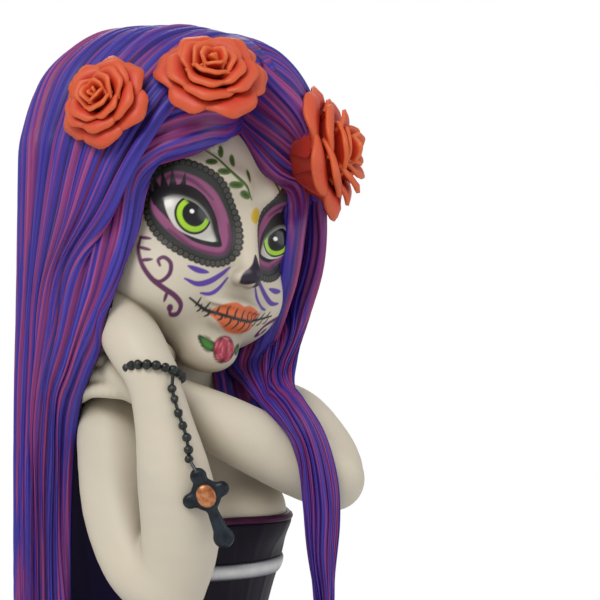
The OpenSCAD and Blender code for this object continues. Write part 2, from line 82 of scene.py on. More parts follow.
def turn_y(degrees):
    c, s = math.cos(math.radians(degrees)), math.sin(math.radians(degrees))
    return np.array([[c, 0, s], [0, 1, 0], [-s, 0, c]])


def turn_z(degrees):
    c, s = math.cos(math.radians(degrees)), math.sin(math.radians(degrees))
    return np.array([[c, -s, 0], [s, c, 0], [0, 0, 1]])


HEAD_NOD = -2.4
HEAD_LEAN = 11.0
HEAD_TURN = 15.0
HEAD_AXES = turn_z(HEAD_TURN) @ turn_y(HEAD_LEAN) @ turn_x(HEAD_NOD)
HEAD_MIDDLE = up(-6, 2.5, 78)


def from_head(points):
    """Points in the frame of the head, where the face looks along -Y, as points of the figure."""
    return np.asarray(points, float) @ HEAD_AXES.T + HEAD_MIDDLE


def to_head(points):
    return (np.asarray(points, float) - HEAD_MIDDLE) @ HEAD_AXES


# ---- Camera ----

CAMERA_TURN = -30.0  # degrees round the figure, towards her right
CAMERA_DISTANCE = 340.0
CAMERA_HEIGHT = 68  # above the waist
CAMERA_SHIFT = 20  # to the right of the figure's middle


def place_camera():
    turn = math.radians(CAMERA_TURN)
    right = np.array([math.cos(turn), math.sin(turn), 0])
    back = np.array([math.sin(turn), -math.cos(turn), 0])
    look_at = up(0, 0, CAMERA_HEIGHT) + CAMERA_SHIFT * right
    lens = bpy.data.cameras.new("portrait_camera")
    lens.type = "PERSP"
    lens.sensor_width = 36
    lens.lens = 102
    lens.clip_start = 0.01
    camera = bpy.data.objects.new("portrait_camera", lens)
    camera.location = Vector((look_at + CAMERA_DISTANCE * back) * MM)
    camera.rotation_euler = (math.radians(90), 0, turn)
    bpy.context.scene.collection.objects.link(camera)
    bpy.context.scene.camera = camera


place_camera()


# ---- Curves and noise ----

def curve_between(rows, steps):
    """The smooth curve from the second row to the last but one; the outer rows only steer its ends."""
    out = []
    for a, b, c, d in zip(rows, rows[1:], rows[2:], rows[3:]):
        for k in range(steps):
            t = k / steps
            out.append(0.5 * (2 * b + (c - a) * t + (2 * a - 5 * b + 4 * c - d) * t * t
                              + (3 * b - a - 3 * c + d) * t ** 3))
    return out


def smooth_curve(points, steps):
    """The smooth curve through every row of points, with a number of steps between rows."""
    rows = np.asarray(points, float)
    padded = np.vstack([2 * rows[0] - rows[1], rows, 2 * rows[-1] - rows[-2]])
    return np.array([*curve_between(padded, steps), rows[-1]])


def closed_curve(points, steps):
    """The smooth curve through every row of points and back to the first."""
    rows = np.asarray(points, float)
    curve = curve_between(np.vstack([rows[-1:], rows, rows[:2]]), steps)
    return np.array([*curve, curve[0]])


def lengths_along(curve):
    """The length of a curve up to each of its points."""
    return np.concatenate([[0], np.cumsum(np.linalg.norm(np.diff(curve, axis=0), axis=1))])


def wave_noise(values, seed, scale):
    """A smooth wandering value from -1 to 1 along one coordinate, always the same for one seed."""
    rng = np.random.default_rng(seed)
    total = np.zeros_like(np.asarray(values, float))
    for octave in range(4):
        frequency = scale * 1.9 ** octave
        total += np.sin(values * frequency * TAU + rng.uniform(0, TAU)) / 1.6 ** octave
    return total / 2.2


def soft_step(low, high, values):
    t = np.clip((values - low) / (high - low), 0, 1)
    return t * t * (3 - 2 * t)


def unit_rows(vectors):
    return vectors / np.maximum(np.linalg.norm(vectors, axis=-1, keepdims=True), 1e-9)


# ---- Solid shapes as distances: negative inside, in millimetres ----

def ball(points, middle, radii):
    radii = np.asarray(radii, float) * np.ones(3)
    offset = points - np.asarray(middle, float)
    near = np.linalg.norm(offset / radii, axis=-1)
    steep = np.linalg.norm(offset / radii ** 2, axis=-1)
    return near * (near - 1) / np.maximum(steep, 1e-6)


def rod(points, start, end, start_r, end_r):
    start, end = np.asarray(start, float), np.asarray(end, float)
    axis = end - start
    along = np.clip((points - start) @ axis / (axis @ axis), 0, 1)
    gap = np.linalg.norm(points - start - along[..., None] * axis, axis=-1)
    return gap - (start_r + (end_r - start_r) * along)


def chain(points, stations, blend, steps=1):
    """Rods through stations [x, y, z, radius], melted into one."""
    rows = smooth_curve(stations, steps) if steps > 1 else np.asarray(stations, float)
    total = None
    for a, b in zip(rows[:-1], rows[1:]):
        piece = rod(points, a[:3], b[:3], a[3], b[3])
        total = piece if total is None else melt(total, piece, blend)
    return total


def melt(a, b, blend):
    """The union of two solids, rounded where they meet."""
    h = np.clip(0.5 + 0.5 * (b - a) / blend, 0, 1)
    return b + (a - b) * h - blend * h * (1 - h)


def carve(a, b, blend):
    """Solid a less solid b, rounded where b bites."""
    return -melt(-a, b, blend)


# ---- Meshes ----

def grid_faces(rows, columns, wrap_columns=False, wrap_rows=False):
    i = np.arange(rows if wrap_rows else rows - 1)
    k = np.arange(columns if wrap_columns else columns - 1)
    i, k = np.meshgrid(i, k, indexing="ij")
    ahead_i, ahead_k = (i + 1) % rows, (k + 1) % columns
    quads = np.stack([i * columns + k, i * columns + ahead_k, ahead_i * columns + ahead_k,
                      ahead_i * columns + k], axis=-1)
    return quads.reshape(-1, 4)


def tube_faces(rows, columns, first=0):
    """The faces of a tube of rings, closed at both ends, with its vertices numbered from the first."""
    ring = np.arange(columns) + first
    sides = grid_faces(rows, columns, wrap_columns=True) + first
    return [*sides.tolist(), ring[::-1].tolist(), (ring + (rows - 1) * columns).tolist()]


def joined_tubes(tubes):
    """Closed tubes, each a grid of points [ring, turn], as the points and faces of one mesh."""
    faces, count = [], 0
    for tube in tubes:
        rows, columns = tube.shape[:2]
        faces.extend(tube_faces(rows, columns, count))
        count += rows * columns
    return np.vstack([tube.reshape(-1, 3) for tube in tubes]), faces


def make_mesh(name, vertices, faces, attributes=None, smooth=True):
    """A Blender object from vertices in millimetres and faces, with named point attributes."""
    mesh = bpy.data.meshes.new(name)
    mesh.from_pydata((np.asarray(vertices) * MM).tolist(), [], [list(map(int, f)) for f in faces])
    for key, values in (attributes or {}).items():
        values = np.asarray(values, np.float32)
        if values.ndim == 1:
            mesh.attributes.new(key, "FLOAT", "POINT").data.foreach_set("value", values)
        else:
            rgba = np.ones((len(values), 4), np.float32)
            rgba[:, :values.shape[1]] = values
            mesh.attributes.new(key, "FLOAT_COLOR", "POINT").data.foreach_set("color", rgba.ravel())
    mesh.polygons.foreach_set("use_smooth", [smooth] * len(mesh.polygons))
    mesh.validate()
    mesh.update()
    piece = bpy.data.objects.new(name, mesh)
    bpy.context.scene.collection.objects.link(piece)
    return piece


def place_piece(piece, material, slot, *nodes):
    """Gives a piece its material and ties it to the frame."""
    piece.data.materials.clear()
    piece.data.materials.append(material)
    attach(piece, "root")
    if nodes:
        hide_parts(*nodes)
    return piece


def surface_of(field, origin, step):
    """Vertices and quads of the surface where a grid of distances crosses zero."""
    inside = field < 0
    shape = np.array(field.shape) - 1
    corner_offsets = np.array([(i, j, k) for i in (0, 1) for j in (0, 1) for k in (0, 1)])
    count = np.zeros(shape, np.int8)
    for i, j, k in corner_offsets:
        count += inside[i:i + shape[0], j:j + shape[1], k:k + shape[2]]
    cells = np.argwhere((count > 0) & (count < 8))
    corners = cells[:, None, :] + corner_offsets[None]
    values = field[corners[..., 0], corners[..., 1], corners[..., 2]]
    total = np.zeros((len(cells), 3))
    hits = np.zeros(len(cells))
    for a in range(8):
        for b in range(a + 1, 8):
            if np.abs(corner_offsets[a] - corner_offsets[b]).sum() != 1:
                continue
            cut = (values[:, a] < 0) != (values[:, b] < 0)
            t = values[cut, a] / (values[cut, a] - values[cut, b])
            span = corner_offsets[b] - corner_offsets[a]
            total[cut] += corner_offsets[a] + t[:, None] * span
            hits[cut] += 1
    vertices = origin + step * (cells + total / hits[:, None])
    index = np.full(shape, -1, np.int64)
    index[tuple(cells.T)] = np.arange(len(cells))
    quads = []
    for axis in range(3):
        side_a, side_b = [(1, 2), (2, 0), (0, 1)][axis]
        here = [slice(1, -1)] * 3
        ahead = [slice(1, -1)] * 3
        here[axis], ahead[axis] = slice(0, -1), slice(1, None)
        first, second = inside[tuple(here)], inside[tuple(ahead)]
        for flip, mask in ((False, first & ~second), (True, ~first & second)):
            at = np.argwhere(mask)
            at[:, side_a] += 1
            at[:, side_b] += 1
            ring = []
            for da, db in ((0, 0), (1, 0), (1, 1), (0, 1)):
                cell = at.copy()
                cell[:, side_a] -= da
                cell[:, side_b] -= db
                ring.append(index[cell[:, 0], cell[:, 1], cell[:, 2]])
            ring = np.stack(ring[::-1] if flip else ring, axis=-1)
            quads.append(ring)
    quads = np.vstack(quads)
    return vertices, quads[(quads >= 0).all(axis=1)]


def relax(vertices, faces, rounds=2):
    """Evens out a mesh by moving each vertex half way to the middle of its neighbours and back."""
    a = faces.ravel()
    b = np.roll(faces, -1, axis=1).ravel()
    pairs = np.vstack([np.stack([a, b], 1), np.stack([b, a], 1)])
    counts = np.bincount(pairs[:, 0], minlength=len(vertices))[:, None]
    for _ in range(rounds):
        for pull in (0.5, -0.51):
            total = np.stack([np.bincount(pairs[:, 0], vertices[pairs[:, 1], c], len(vertices))
                              for c in range(3)], axis=1)
            vertices = vertices + pull * (total / counts - vertices)
    return vertices


# ---- Head ----

EYE = np.array([11.0, -21.5, 3.0])  # middle of the left eye; the right one mirrors it


def head_shape(points):
    """The bald head with its face, in the frame of the head. It is the same on both sides."""
    p = points.copy()
    p[:, 0] = np.abs(p[:, 0])
    shape = ball(p, (0, 1.5, 6), (23.5, 25, 24.5))
    jaw = ball(p, (0, -4.5, -8.5), (17, 17.5, 13.5))
    cheek = ball(p, (10, -10.5, -8), (8.5, 9.5, 8))
    chin = ball(p, (0, -15.5, -20.8), (5.5, 5.2, 4))
    brow = rod(p, (4, -22.5, 10.5), (14, -17.5, 12), 1.6, 1.6)
    for part, blend in ((jaw, 7), (cheek, 6), (chin, 6), (brow, 4)):
        shape = melt(shape, part, blend)
    socket = ball(p, (EYE[0], -26.5, EYE[2]), (9.5, 5.8, 7))
    shape = carve(shape, socket, 3)
    lid = ball(p, (EYE[0] - 0.6, -15, EYE[2]), (8, 7.2, 7.4))
    nose = rod(p, (0, -21.5, 5), (0, -24.9, -6), 1.4, 1.9)
    nose_tip = ball(p, (0, -25.2, -6.8), (1.7, 1.9, 1.5))
    nostril = ball(p, (1.9, -23.8, -7.3), (1.1, 1.4, 1.0))
    upper_lip = ball(p, (0, -21.3, -12.4), (6.5, 2.4, 1.7))
    lower_lip = ball(p, (0, -20.8, -15.3), (5, 2.6, 1.9))
    for part, blend in ((lid, 1.2), (nose, 3), (nose_tip, 1.5), (nostril, 1.4), (upper_lip, 1.8),
                        (lower_lip, 1.8)):
        shape = melt(shape, part, blend)
    smile = rod(p, (0, -24.4, -13.7), (7, -21.4, -13.2), 0.35, 0.2)
    return carve(shape, smile, 0.6)


# ---- Painting on the face ----

def srgb(code):
    """Linear colour of a hex code."""
    parts = [int(code[i:i + 2], 16) / 255 for i in (1, 3, 5)]
    return np.array([v / 12.92 if v <= 0.04045 else ((v + 0.055) / 1.055) ** 2.4 for v in parts])


FACE_RADIUS = 24  # of the cylinder that the face is unrolled from
BEHIND_EARS = 4  # nothing is painted further back than this


class Canvas:
    """The face unrolled: across, the arc length round the face, and height, both in mm."""

    def __init__(self, points, base):
        self.across = FACE_RADIUS * np.arctan2(points[:, 0], -points[:, 1])
        self.height = points[:, 2]
        self.front = points[:, 1] < BEHIND_EARS
        self.colors = np.tile(np.asarray(base, float), (len(points), 1))
        self.gloss = np.zeros(len(points))
        self.raised = np.zeros(len(points))

    def near(self, route, reach):
        """The points of the front that lie within reach of the box round a route."""
        route = np.asarray(route, float)
        low, high = route.min(axis=0) - reach, route.max(axis=0) + reach
        return np.where(self.front & (self.across > low[0]) & (self.across < high[0])
                        & (self.height > low[1]) & (self.height < high[1]))[0]

    def lay(self, at, mask, color, relief=0.0, gloss=0.0):
        """Lays a colour, a thickness of paint and a gloss over some points."""
        mask = np.clip(mask, 0, 1)
        self.colors[at] = self.colors[at] * (1 - mask[:, None]) + np.asarray(color) * mask[:, None]
        self.gloss[at] = self.gloss[at] * (1 - mask) + gloss * mask
        self.raised[at] = np.maximum(self.raised[at], mask * relief)

    def stroke(self, route, width, color, tip=0.35, soft=0.13, relief=0.05):
        """A brush stroke through [across, height] points, narrower at its ends."""
        line = smooth_curve(route, 6) if len(route) > 2 else np.asarray(route, float)
        at = self.near(line, width + 1)
        spots = np.stack([self.across[at], self.height[at]], axis=1)
        best = np.full(len(at), 99.0)
        for i, (a, b) in enumerate(zip(line[:-1], line[1:])):
            axis = b - a
            along = np.clip((spots - a) @ axis / max(axis @ axis, 1e-9), 0, 1)
            share = np.clip((i + along) / (len(line) - 1), 0.02, 0.98)
            half = width / 2 * (tip + (1 - tip) * np.sin(np.pi * share) ** 0.6)
            gap = np.linalg.norm(spots - a - along[:, None] * axis, axis=1)
            best = np.minimum(best, gap - half)
        self.lay(at, 1 - soft_step(-soft, soft, best), color, relief)

    def spike(self, foot, tip, width, color):
        """A lash: wide at its foot and sharp at its tip."""
        foot, tip = np.asarray(foot, float), np.asarray(tip, float)
        at = self.near([foot, tip], width)
        spots = np.stack([self.across[at], self.height[at]], axis=1)
        axis = tip - foot
        along = np.clip((spots - foot) @ axis / (axis @ axis), 0, 1)
        gap = np.linalg.norm(spots - foot - along[:, None] * axis, axis=1) - width / 2 * (1 - along)
        self.lay(at, 1 - soft_step(-0.1, 0.1, gap), color, 0.1)

    def oval(self, middle, radii, color, tilt=0.0, soft=0.15, relief=0.0, gloss=0.0):
        at = self.near([middle, middle], max(radii) + 1)
        c, s = math.cos(math.radians(tilt)), math.sin(math.radians(tilt))
        dx, dy = self.across[at] - middle[0], self.height[at] - middle[1]
        edge = (np.hypot((dx * c + dy * s) / radii[0], (dy * c - dx * s) / radii[1]) - 1) * min(radii)
        self.lay(at, 1 - soft_step(-soft, soft, edge), color, relief, gloss)

    def patch(self, outline, color, soft=0.15, relief=0.0, gloss=0.0):
        """A filled shape inside a smooth closed outline."""
        closed = closed_curve(outline, 6)
        at = self.near(closed, 1.5)
        self.lay(at, 1 - soft_step(-soft, soft, self.edge_of(closed, at)), color, relief, gloss)

    def edge_of(self, closed, at):
        """The distance to a closed outline, negative inside."""
        x, y = self.across[at], self.height[at]
        best = np.full(len(at), 99.0)
        inside = np.zeros(len(at), bool)
        for a, b in zip(closed[:-1], closed[1:]):
            axis = b - a
            dx, dy = x - a[0], y - a[1]
            along = np.clip((dx * axis[0] + dy * axis[1]) / max(axis @ axis, 1e-9), 0, 1)
            best = np.minimum(best, np.hypot(dx - along * axis[0], dy - along * axis[1]))
            level = (a[1] > y) != (b[1] > y)
            rise = axis[1] if abs(axis[1]) > 1e-9 else 1e-9
            inside ^= level & (x < a[0] + (y - a[1]) / rise * axis[0])
        return np.where(inside, -best, best)


SKIN = srgb("#D1C8B6")
SKIN_SHADE = srgb("#8C7A5E")
INK = srgb("#131215")
LACE = srgb("#2C302C")
MAUVE = srgb("#95507A")
MAUVE_DEEP = srgb("#5E2F52")
EYE_WHITE = srgb("#D4D2CA")
LIME = srgb("#A6D62A")
PUPIL = srgb("#090B0E")
PLUM = srgb("#1C0E26")
VIOLET = srgb("#55359C")
WINE = srgb("#5A2250")
ORANGE = srgb("#CE6434")
CHIN_ROSE = srgb("#A02C42")
CHIN_ROSE_DARK = srgb("#5E1424")
CHIN_ROSE_LIGHT = srgb("#D0687A")
LEAF = srgb("#3C7A26")
LEAF_DARK = srgb("#1A3610")
SPRIG = srgb("#46641E")
OCHRE = srgb("#C8A818")
PALE_PETAL = srgb("#E8E0CE")

# Outlines round the left eye as [out from the middle of the face, height]; the right eye mirrors them
LACE_RING = [[21.8, 8], [19.8, 11.3], [15, 12.4], [9.5, 10.8], [5.8, 7.6], [3.3, 4], [2.7, 0], [3.5, -3.6],
             [6.6, -5.4], [11, -5.5], [16, -3.8], [19.8, -0.8], [21.8, 3]]
SHADOW_RING = [[20.8, 8], [18.5, 10.2], [14.5, 10.3], [9.5, 8.6], [6.4, 6], [4.6, 3.2], [4, 0], [4.7, -2.5],
               [6.5, -3.8], [10.5, -3.7], [15, -2.3], [18.8, 0.4], [20.8, 3.6]]
LID_RING = [[20, 3.8], [19.6, 6.6], [17.2, 7.8], [14.2, 8.2], [11.4, 7], [9.2, 4.8], [7.2, 2.2], [5.9, -1],
            [6.2, -2.1], [9, -2.4], [12.5, -2], [15.4, -0.5], [18, 1.6]]
EYE_OPENING = [[18.4, 4.8], [16.9, 5.3], [14.8, 5.2], [12.4, 4.4], [9.6, 2.2], [7.1, -0.9], [9.4, -1.5],
               [13, -1.3], [15.8, -0.3], [17.6, 2.1]]
LASHES = [[[19.3, 5], [21.4, 9.8], 2.4], [[18.2, 5.4], [19.8, 11], 2.4], [[16.9, 5.8], [17.7, 11], 2.4],
          [[15.4, 6], [15.2, 10.6], 2.2], [[19.6, 4.4], [22.4, 7.4], 2.0]]
EYE_CORNER = [[4.6, 2.6], [4.1, 0], [4.8, -2.6], [7, -3.7], [12, -3.3], [17, -0.8]]
BROW_SHADE = [[19, 8.6], [17.5, 9.6], [13.8, 9.2], [9, 6.6]]
SCALLOPS = 52
# Each scallop from the outside in: radius, colour, softness and thickness of its paint
SCALLOP_DOTS = [(0.78, INK, 0.14, 0.12), (0.42, SKIN_SHADE * [0.3, 0.38, 0.5], 0.15, 0), (0.2, LACE, 0.1, 0)]
INNER_EDGE = 2.5  # how far from the middle of the face an eye starts


def mirrored(points, side, shift=0.0, narrow=1.0):
    """Points drawn for her left side, moved to either side and narrowed towards the nose."""
    return [[side * (INNER_EDGE + narrow * (x - INNER_EDGE)) + shift, z] for x, z in points]


def paint_lace(canvas, ring):
    """Dark lace round an eye, with a row of scallops along its edge."""
    canvas.patch(ring, LACE, soft=0.2, relief=0.05)
    edge = closed_curve(ring, 6)
    lengths = lengths_along(edge)
    for k in range(SCALLOPS):
        spot = [np.interp(k / SCALLOPS * lengths[-1], lengths, edge[:, c]) for c in (0, 1)]
        for size, color, soft, relief in SCALLOP_DOTS:
            canvas.oval(spot, (size, size), color, soft=soft, relief=relief)


def paint_iris(canvas, opening, middle, size):
    """A lime crescent round a wide pupil, cut off by the lids."""
    at = canvas.near([middle, middle], 6)
    lid = 1 - soft_step(-0.1, 0.1, canvas.edge_of(closed_curve(opening, 6), at))
    dx, dy = canvas.across[at] - middle[0], canvas.height[at] - middle[1]
    radius = np.hypot(dx, dy) / size
    lit = soft_step(-0.55, -0.2, (-0.5 * dx - 0.86 * dy) / np.maximum(radius * size, 1e-6))
    for reach, color, share in ((1.0, PUPIL, 1), (0.88, LIME, lit), (0.62, PUPIL, 1)):
        disc = 1 - soft_step(reach - 0.03, reach + 0.03, radius)
        canvas.lay(at, lid * disc * share, color, gloss=0.8)
    glint = np.hypot(dx + 0.15 * size, dy - 0.12 * size)
    canvas.lay(at, lid * (1 - soft_step(0.3, 0.5, glint)), np.ones(3) * 0.95, gloss=0.8)


def paint_eye(canvas, side, shift, narrow, iris, iris_size):
    """An eye with its lace, shadow, lid and lashes; iris is how far out and how high its middle is."""

    def placed(points):
        return mirrored(points, side, shift, narrow)

    paint_lace(canvas, placed(LACE_RING))
    canvas.patch(placed(SHADOW_RING), MAUVE, soft=0.25)
    canvas.stroke(placed(EYE_CORNER), 0.8, MAUVE_DEEP, soft=0.35, relief=0)
    canvas.stroke(placed(BROW_SHADE), 0.9, MAUVE_DEEP, soft=0.4, relief=0)
    canvas.patch(placed(LID_RING), INK, soft=0.14, relief=0.1)
    for foot, tip, width in LASHES:
        canvas.spike(*placed([foot, tip]), width, INK)
    opening = placed(EYE_OPENING)
    canvas.patch(opening, EYE_WHITE, soft=0.1, gloss=0.7)
    # A darker grey band along the upper edge of the eye white: painted shade under the lid.
    canvas.stroke(opening[:6], 0.7, EYE_WHITE * 0.45, soft=0.5, relief=0)
    paint_iris(canvas, opening, [side * iris[0] + shift, iris[1]], iris_size)


def paint_sprigs(canvas):
    stem = [[-11.2, 16], [-8.6, 14.6], [-6.6, 12.6], [-4.6, 11], [-2.4, 9.8], [-0.6, 8.2]]
    canvas.stroke(stem, 0.75, SPRIG)
    canvas.stroke([[4.8, 8.6], [6.6, 10.6], [8.6, 12.6], [10.6, 13.8]], 0.75, SPRIG)
    leaves = [(-7.7, 16.4, 80), (-10.2, 13.6, 20), (-5.2, 15, 78), (-7.8, 12, 12), (-1.6, 12.6, 82),
              (-5.2, 9.9, 5), (-2.6, 8.6, -10), (6.2, 12.6, 100), (8.2, 10.8, 15), (10.4, 12.2, 20),
              (9.2, 14.6, 95)]
    for x, z, tilt in leaves:
        canvas.oval((x, z), (1.4, 0.68), SPRIG, tilt, soft=0.12, relief=0.04)
        canvas.oval((x, z), (0.7, 0.16), LEAF_DARK, tilt, soft=0.15)
    for k in range(6):
        turn = TAU * k / 6
        canvas.oval((-9.3 + 0.75 * math.cos(turn), 17 + 0.75 * math.sin(turn)), (0.42, 0.42), PALE_PETAL)
    canvas.oval((0.6, 5.2), (1.15, 1.65), OCHRE, -18, soft=0.25, relief=0.04)


def paint_nose(canvas):
    canvas.patch([[0, -2.5], [-0.9, -4.6], [-2.3, -6.8], [-2.2, -8.3], [-0.8, -8.5], [0, -8.1], [0.8, -8.5],
                  [2.2, -8.3], [2.3, -6.8], [0.9, -4.6]], PLUM, soft=0.12, gloss=0.25)


def paint_cheeks(canvas):
    for side in (-1, 1):
        canvas.stroke(mirrored([[12.6, -7], [10.6, -7.4], [8.4, -7.4]], side), 1.1, VIOLET, tip=0.2)
        canvas.stroke(mirrored([[12.9, -9.4], [10.4, -9.9], [8, -9.1], [5.6, -7.4], [3.7, -5.6]], side), 1.1,
                      VIOLET, tip=0.2)
        canvas.stroke(mirrored([[9.2, -11.4], [7.2, -11.2], [5.4, -9.9], [3.8, -7.6]], side), 0.8, VIOLET,
                      tip=0.3)
        stem = [[22.2, -2.4], [22.3, -4.8], [21.2, -7.6], [19.2, -10], [16.8, -11.5], [14.2, -12.7],
                [12.7, -14], [12.9, -15.5], [14.4, -15.8], [14.9, -14.7]]
        canvas.stroke(mirrored(stem, side), 1.0, WINE, tip=0.45)
        curl = [[19.2, -10.1], [17.4, -10.5], [15.9, -9], [15.9, -7], [17.2, -6], [18.2, -6.6], [17.8, -7.6]]
        canvas.stroke(mirrored(curl, side), 0.8, WINE, tip=0.5)
        for a, b in (([22.2, -2.5], [20.2, -2.6]), ([22.2, -4.4], [20, -4.8]), ([21.5, -6.9], [19.4, -6.6]),
                     ([15.8, -12], [16.2, -13.8])):
            canvas.stroke(mirrored([a, b], side), 0.7, WINE, tip=0.4)
        canvas.oval((side * 14.8, -14.8), (0.65, 0.65), WINE)


def paint_mouth(canvas):
    canvas.patch([[-6.2, -14.4], [-4, -12.7], [-1.4, -11.9], [0.5, -12.3], [2.4, -11.9], [5.2, -12.5],
                  [8, -13.7], [5.4, -16], [2, -17.3], [-1.6, -17.3], [-4.6, -16]], ORANGE, soft=0.2)
    line = [[-11.2, -12.6], [-8, -13.8], [-5.2, -14.5], [-1.5, -14.9], [2.5, -14.8], [7.4, -13.8],
            [12.4, -12]]
    canvas.stroke(line, 0.65, INK, tip=0.5)
    curve = smooth_curve(line, 8)
    for x in (-9.2, -7.2, -5, -3.1, -1.3, 0.5, 2.3, 4.1, 5.9, 7.6, 9.2, 10.8):
        z = np.interp(x, curve[:, 0], curve[:, 1])
        reach = 1.9 if -4 < x < 6 else 1.2
        canvas.stroke([[x + 0.35, z + reach], [x, z + 0.2], [x - 0.3, z - 0.4]], 0.42, INK, tip=0.5)
        canvas.stroke([[x + 0.9, z + 0.1], [x + 0.95, z - 0.8], [x + 0.45, z - reach]], 0.42, INK, tip=0.5)


def paint_chin_rose(canvas):
    middle = np.array([-0.4, -20.6])
    for outline in ([[-7, -18.8], [-4.6, -19], [-2.6, -20.4], [-3.6, -21.6], [-5.6, -21]],
                    [[5.6, -18.8], [3.4, -19.2], [2.4, -20.6], [3.8, -21.2], [5.2, -20.2]]):
        canvas.patch(outline, LEAF_DARK, soft=0.15, relief=0.05)
        canvas.patch(np.mean(outline, axis=0) + 0.62 * (np.array(outline) - np.mean(outline, axis=0)), LEAF,
                     soft=0.3)
        canvas.stroke([outline[0], outline[2]], 0.25, LEAF_DARK, tip=0.5)
    canvas.oval(middle, (3.1, 2.6), CHIN_ROSE_DARK, relief=0.1)
    for reach, count, start in ((2.1, 5, 20), (1.25, 4, 60), (0.45, 2, 10)):
        for k in range(count):
            turn = math.radians(start + 360 * k / count)
            spot = middle + reach * np.array([math.cos(turn), 0.78 * math.sin(turn)])
            tilt = math.degrees(turn) + 90
            canvas.oval(spot, (1.1, 0.75), CHIN_ROSE, tilt, soft=0.15, relief=0.12)
            outer = spot + 0.45 * np.array([math.cos(turn), math.sin(turn)])
            canvas.oval(outer, (0.7, 0.18), CHIN_ROSE_LIGHT, tilt, soft=0.15)
            inner = spot - 0.55 * np.array([math.cos(turn), math.sin(turn)])
            canvas.oval(inner, (0.7, 0.14), CHIN_ROSE_DARK, tilt, soft=0.12)


def skin_tones(points, seed):
    """Ivory with faint warm and cool clouds."""
    drift = wave_noise(points[:, 0] + 0.6 * points[:, 2], seed, 0.03) \
        + wave_noise(points[:, 2] - 0.4 * points[:, 1], seed + 1, 0.04)
    return SKIN * (1 + 0.03 * drift[:, None] * [1, 0.8, 0.4])


def head_rays(columns, rows):
    """Directions from the middle of the head, closer together over the face."""
    t = np.linspace(-1, 1, columns, endpoint=False)
    s = np.linspace(-0.999, 0.999, rows)
    turn = np.radians(70 * t + 110 * t ** 9)
    rise = np.radians(50 * s + 40 * s ** 7)
    turn, rise = np.meshgrid(turn, rise)
    return np.stack([np.sin(turn) * np.cos(rise), -np.cos(turn) * np.cos(rise), np.sin(rise)],
                    axis=-1).reshape(-1, 3)


def surface_along(shape, start, rays, low, high, rounds=16):
    """The last points outwards along the rays that lie in a solid, by halving."""
    near, far = np.full(len(rays), float(low)), np.full(len(rays), float(high))
    for _ in range(rounds):
        middle = (near + far) / 2
        inside = shape(start + rays * middle[:, None]) < 0
        near, far = np.where(inside, middle, near), np.where(inside, far, middle)
    return start + rays * near[:, None]


def build_head(material):
    columns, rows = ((440, 320))
    start = np.array([0, 0, -1.0])
    rays = head_rays(columns, rows)
    points = surface_along(head_shape, start, rays, 6, 44)
    canvas = Canvas(points, SKIN)
    normals = normals_of(from_head(points), grid_faces(rows, columns, wrap_columns=True))
    canvas.colors = shaded_skin(skin_tones(points, 3), from_head(points), normals)
    paint_sprigs(canvas)
    paint_cheeks(canvas)
    paint_eye(canvas, side=-1, shift=0.0, narrow=1.0, iris=(12.8, 2.6), iris_size=3.6)
    paint_eye(canvas, side=1, shift=-0.8, narrow=0.72, iris=(9.9, 2.2), iris_size=3.1)
    paint_nose(canvas)
    paint_mouth(canvas)
    paint_chin_rose(canvas)
    points = points + rays * canvas.raised[:, None]
    piece = make_mesh("painted_head", from_head(points), tube_faces(rows, columns),
                      {"paint": canvas.colors, "gloss": canvas.gloss})
    return place_piece(piece, material, "skin", "head")


# ---- Body: torso, arms and hands as one modelled skin, cut at the joints ----

def column(points, stations):
    """An upright body of elliptical sections [x, y, z, half width, half depth]."""
    rows = smooth_curve(stations, 4)
    z = points[..., 2]
    x, y, w, d = (np.interp(z, rows[:, 2], rows[:, c]) for c in (0, 1, 3, 4))
    ring = (np.hypot((points[..., 0] - x) / w, (points[..., 1] - y) / d) - 1) * np.minimum(w, d)
    return np.maximum(ring, np.maximum(rows[0, 2] - z, z - rows[-1, 2]))


# The torso runs up through [x, y, z, half width, half depth], from the middle of the waist
TORSO = [[0, 0, -3, 12.4, 10], [0, 0, 3, 12, 9.4], [0, -0.5, 10, 13.4, 10.4], [0, -1, 18, 15.6, 11.8],
         [0, -1, 26, 17, 12], [-0.5, 0.5, 36, 17.3, 9.8], [-1, 1.5, 43, 14.5, 8.2], [-1.5, 2.5, 49, 8.6, 7.2],
         [-2.7, 3, 55.5, 6.4, 6.4], [-4, 3.2, 61, 6.2, 6.2], [-5, 3, 67, 6.6, 6.6]]
# Limbs run through [x, y, z, radius], from the middle of the waist
RIGHT_UPPER_ARM = [[-18.5, 1.5, 45.5, 5.8], [-19.2, -0.7, 39, 6.4], [-20.2, -5.4, 28, 6.3],
                   [-19, -12, 18.5, 6.2], [-15.6, -17.6, 14, 6]]
RIGHT_FOREARM = [[-14.8, -18.6, 15, 6], [-14.8, -21.6, 25, 6.8], [-16.4, -22.3, 35, 6.4],
                 [-18.3, -21.9, 45, 4.9], [-20, -20.8, 53.5, 4.1]]
LEFT_UPPER_ARM = [[18.5, 1.5, 45.5, 5.8], [20.3, -5, 42.5, 6.2], [19.8, -15, 37.5, 6],
                  [17.2, -23.5, 33.5, 5.6]]
LEFT_FOREARM = [[16, -24.4, 33.4, 5.4], [8.5, -21.8, 37.4, 5.9], [-0.7, -18.5, 42.4, 5.6],
                [-7, -15.4, 46, 4.9], [-13.5, -12, 49.8, 3.9]]
RIGHT_PALM = [[-20.2, -20.4, 54.6, 4.2], [-21.2, -16.4, 59, 4.8], [-21.6, -12, 63, 4.8], [-21, -7.5, 68, 4.4]]
LEFT_PALM = [[-14, -11.6, 50.3, 3.8], [-17.6, -9.6, 52.6, 4], [-20.4, -7.8, 54.6, 3.9]]


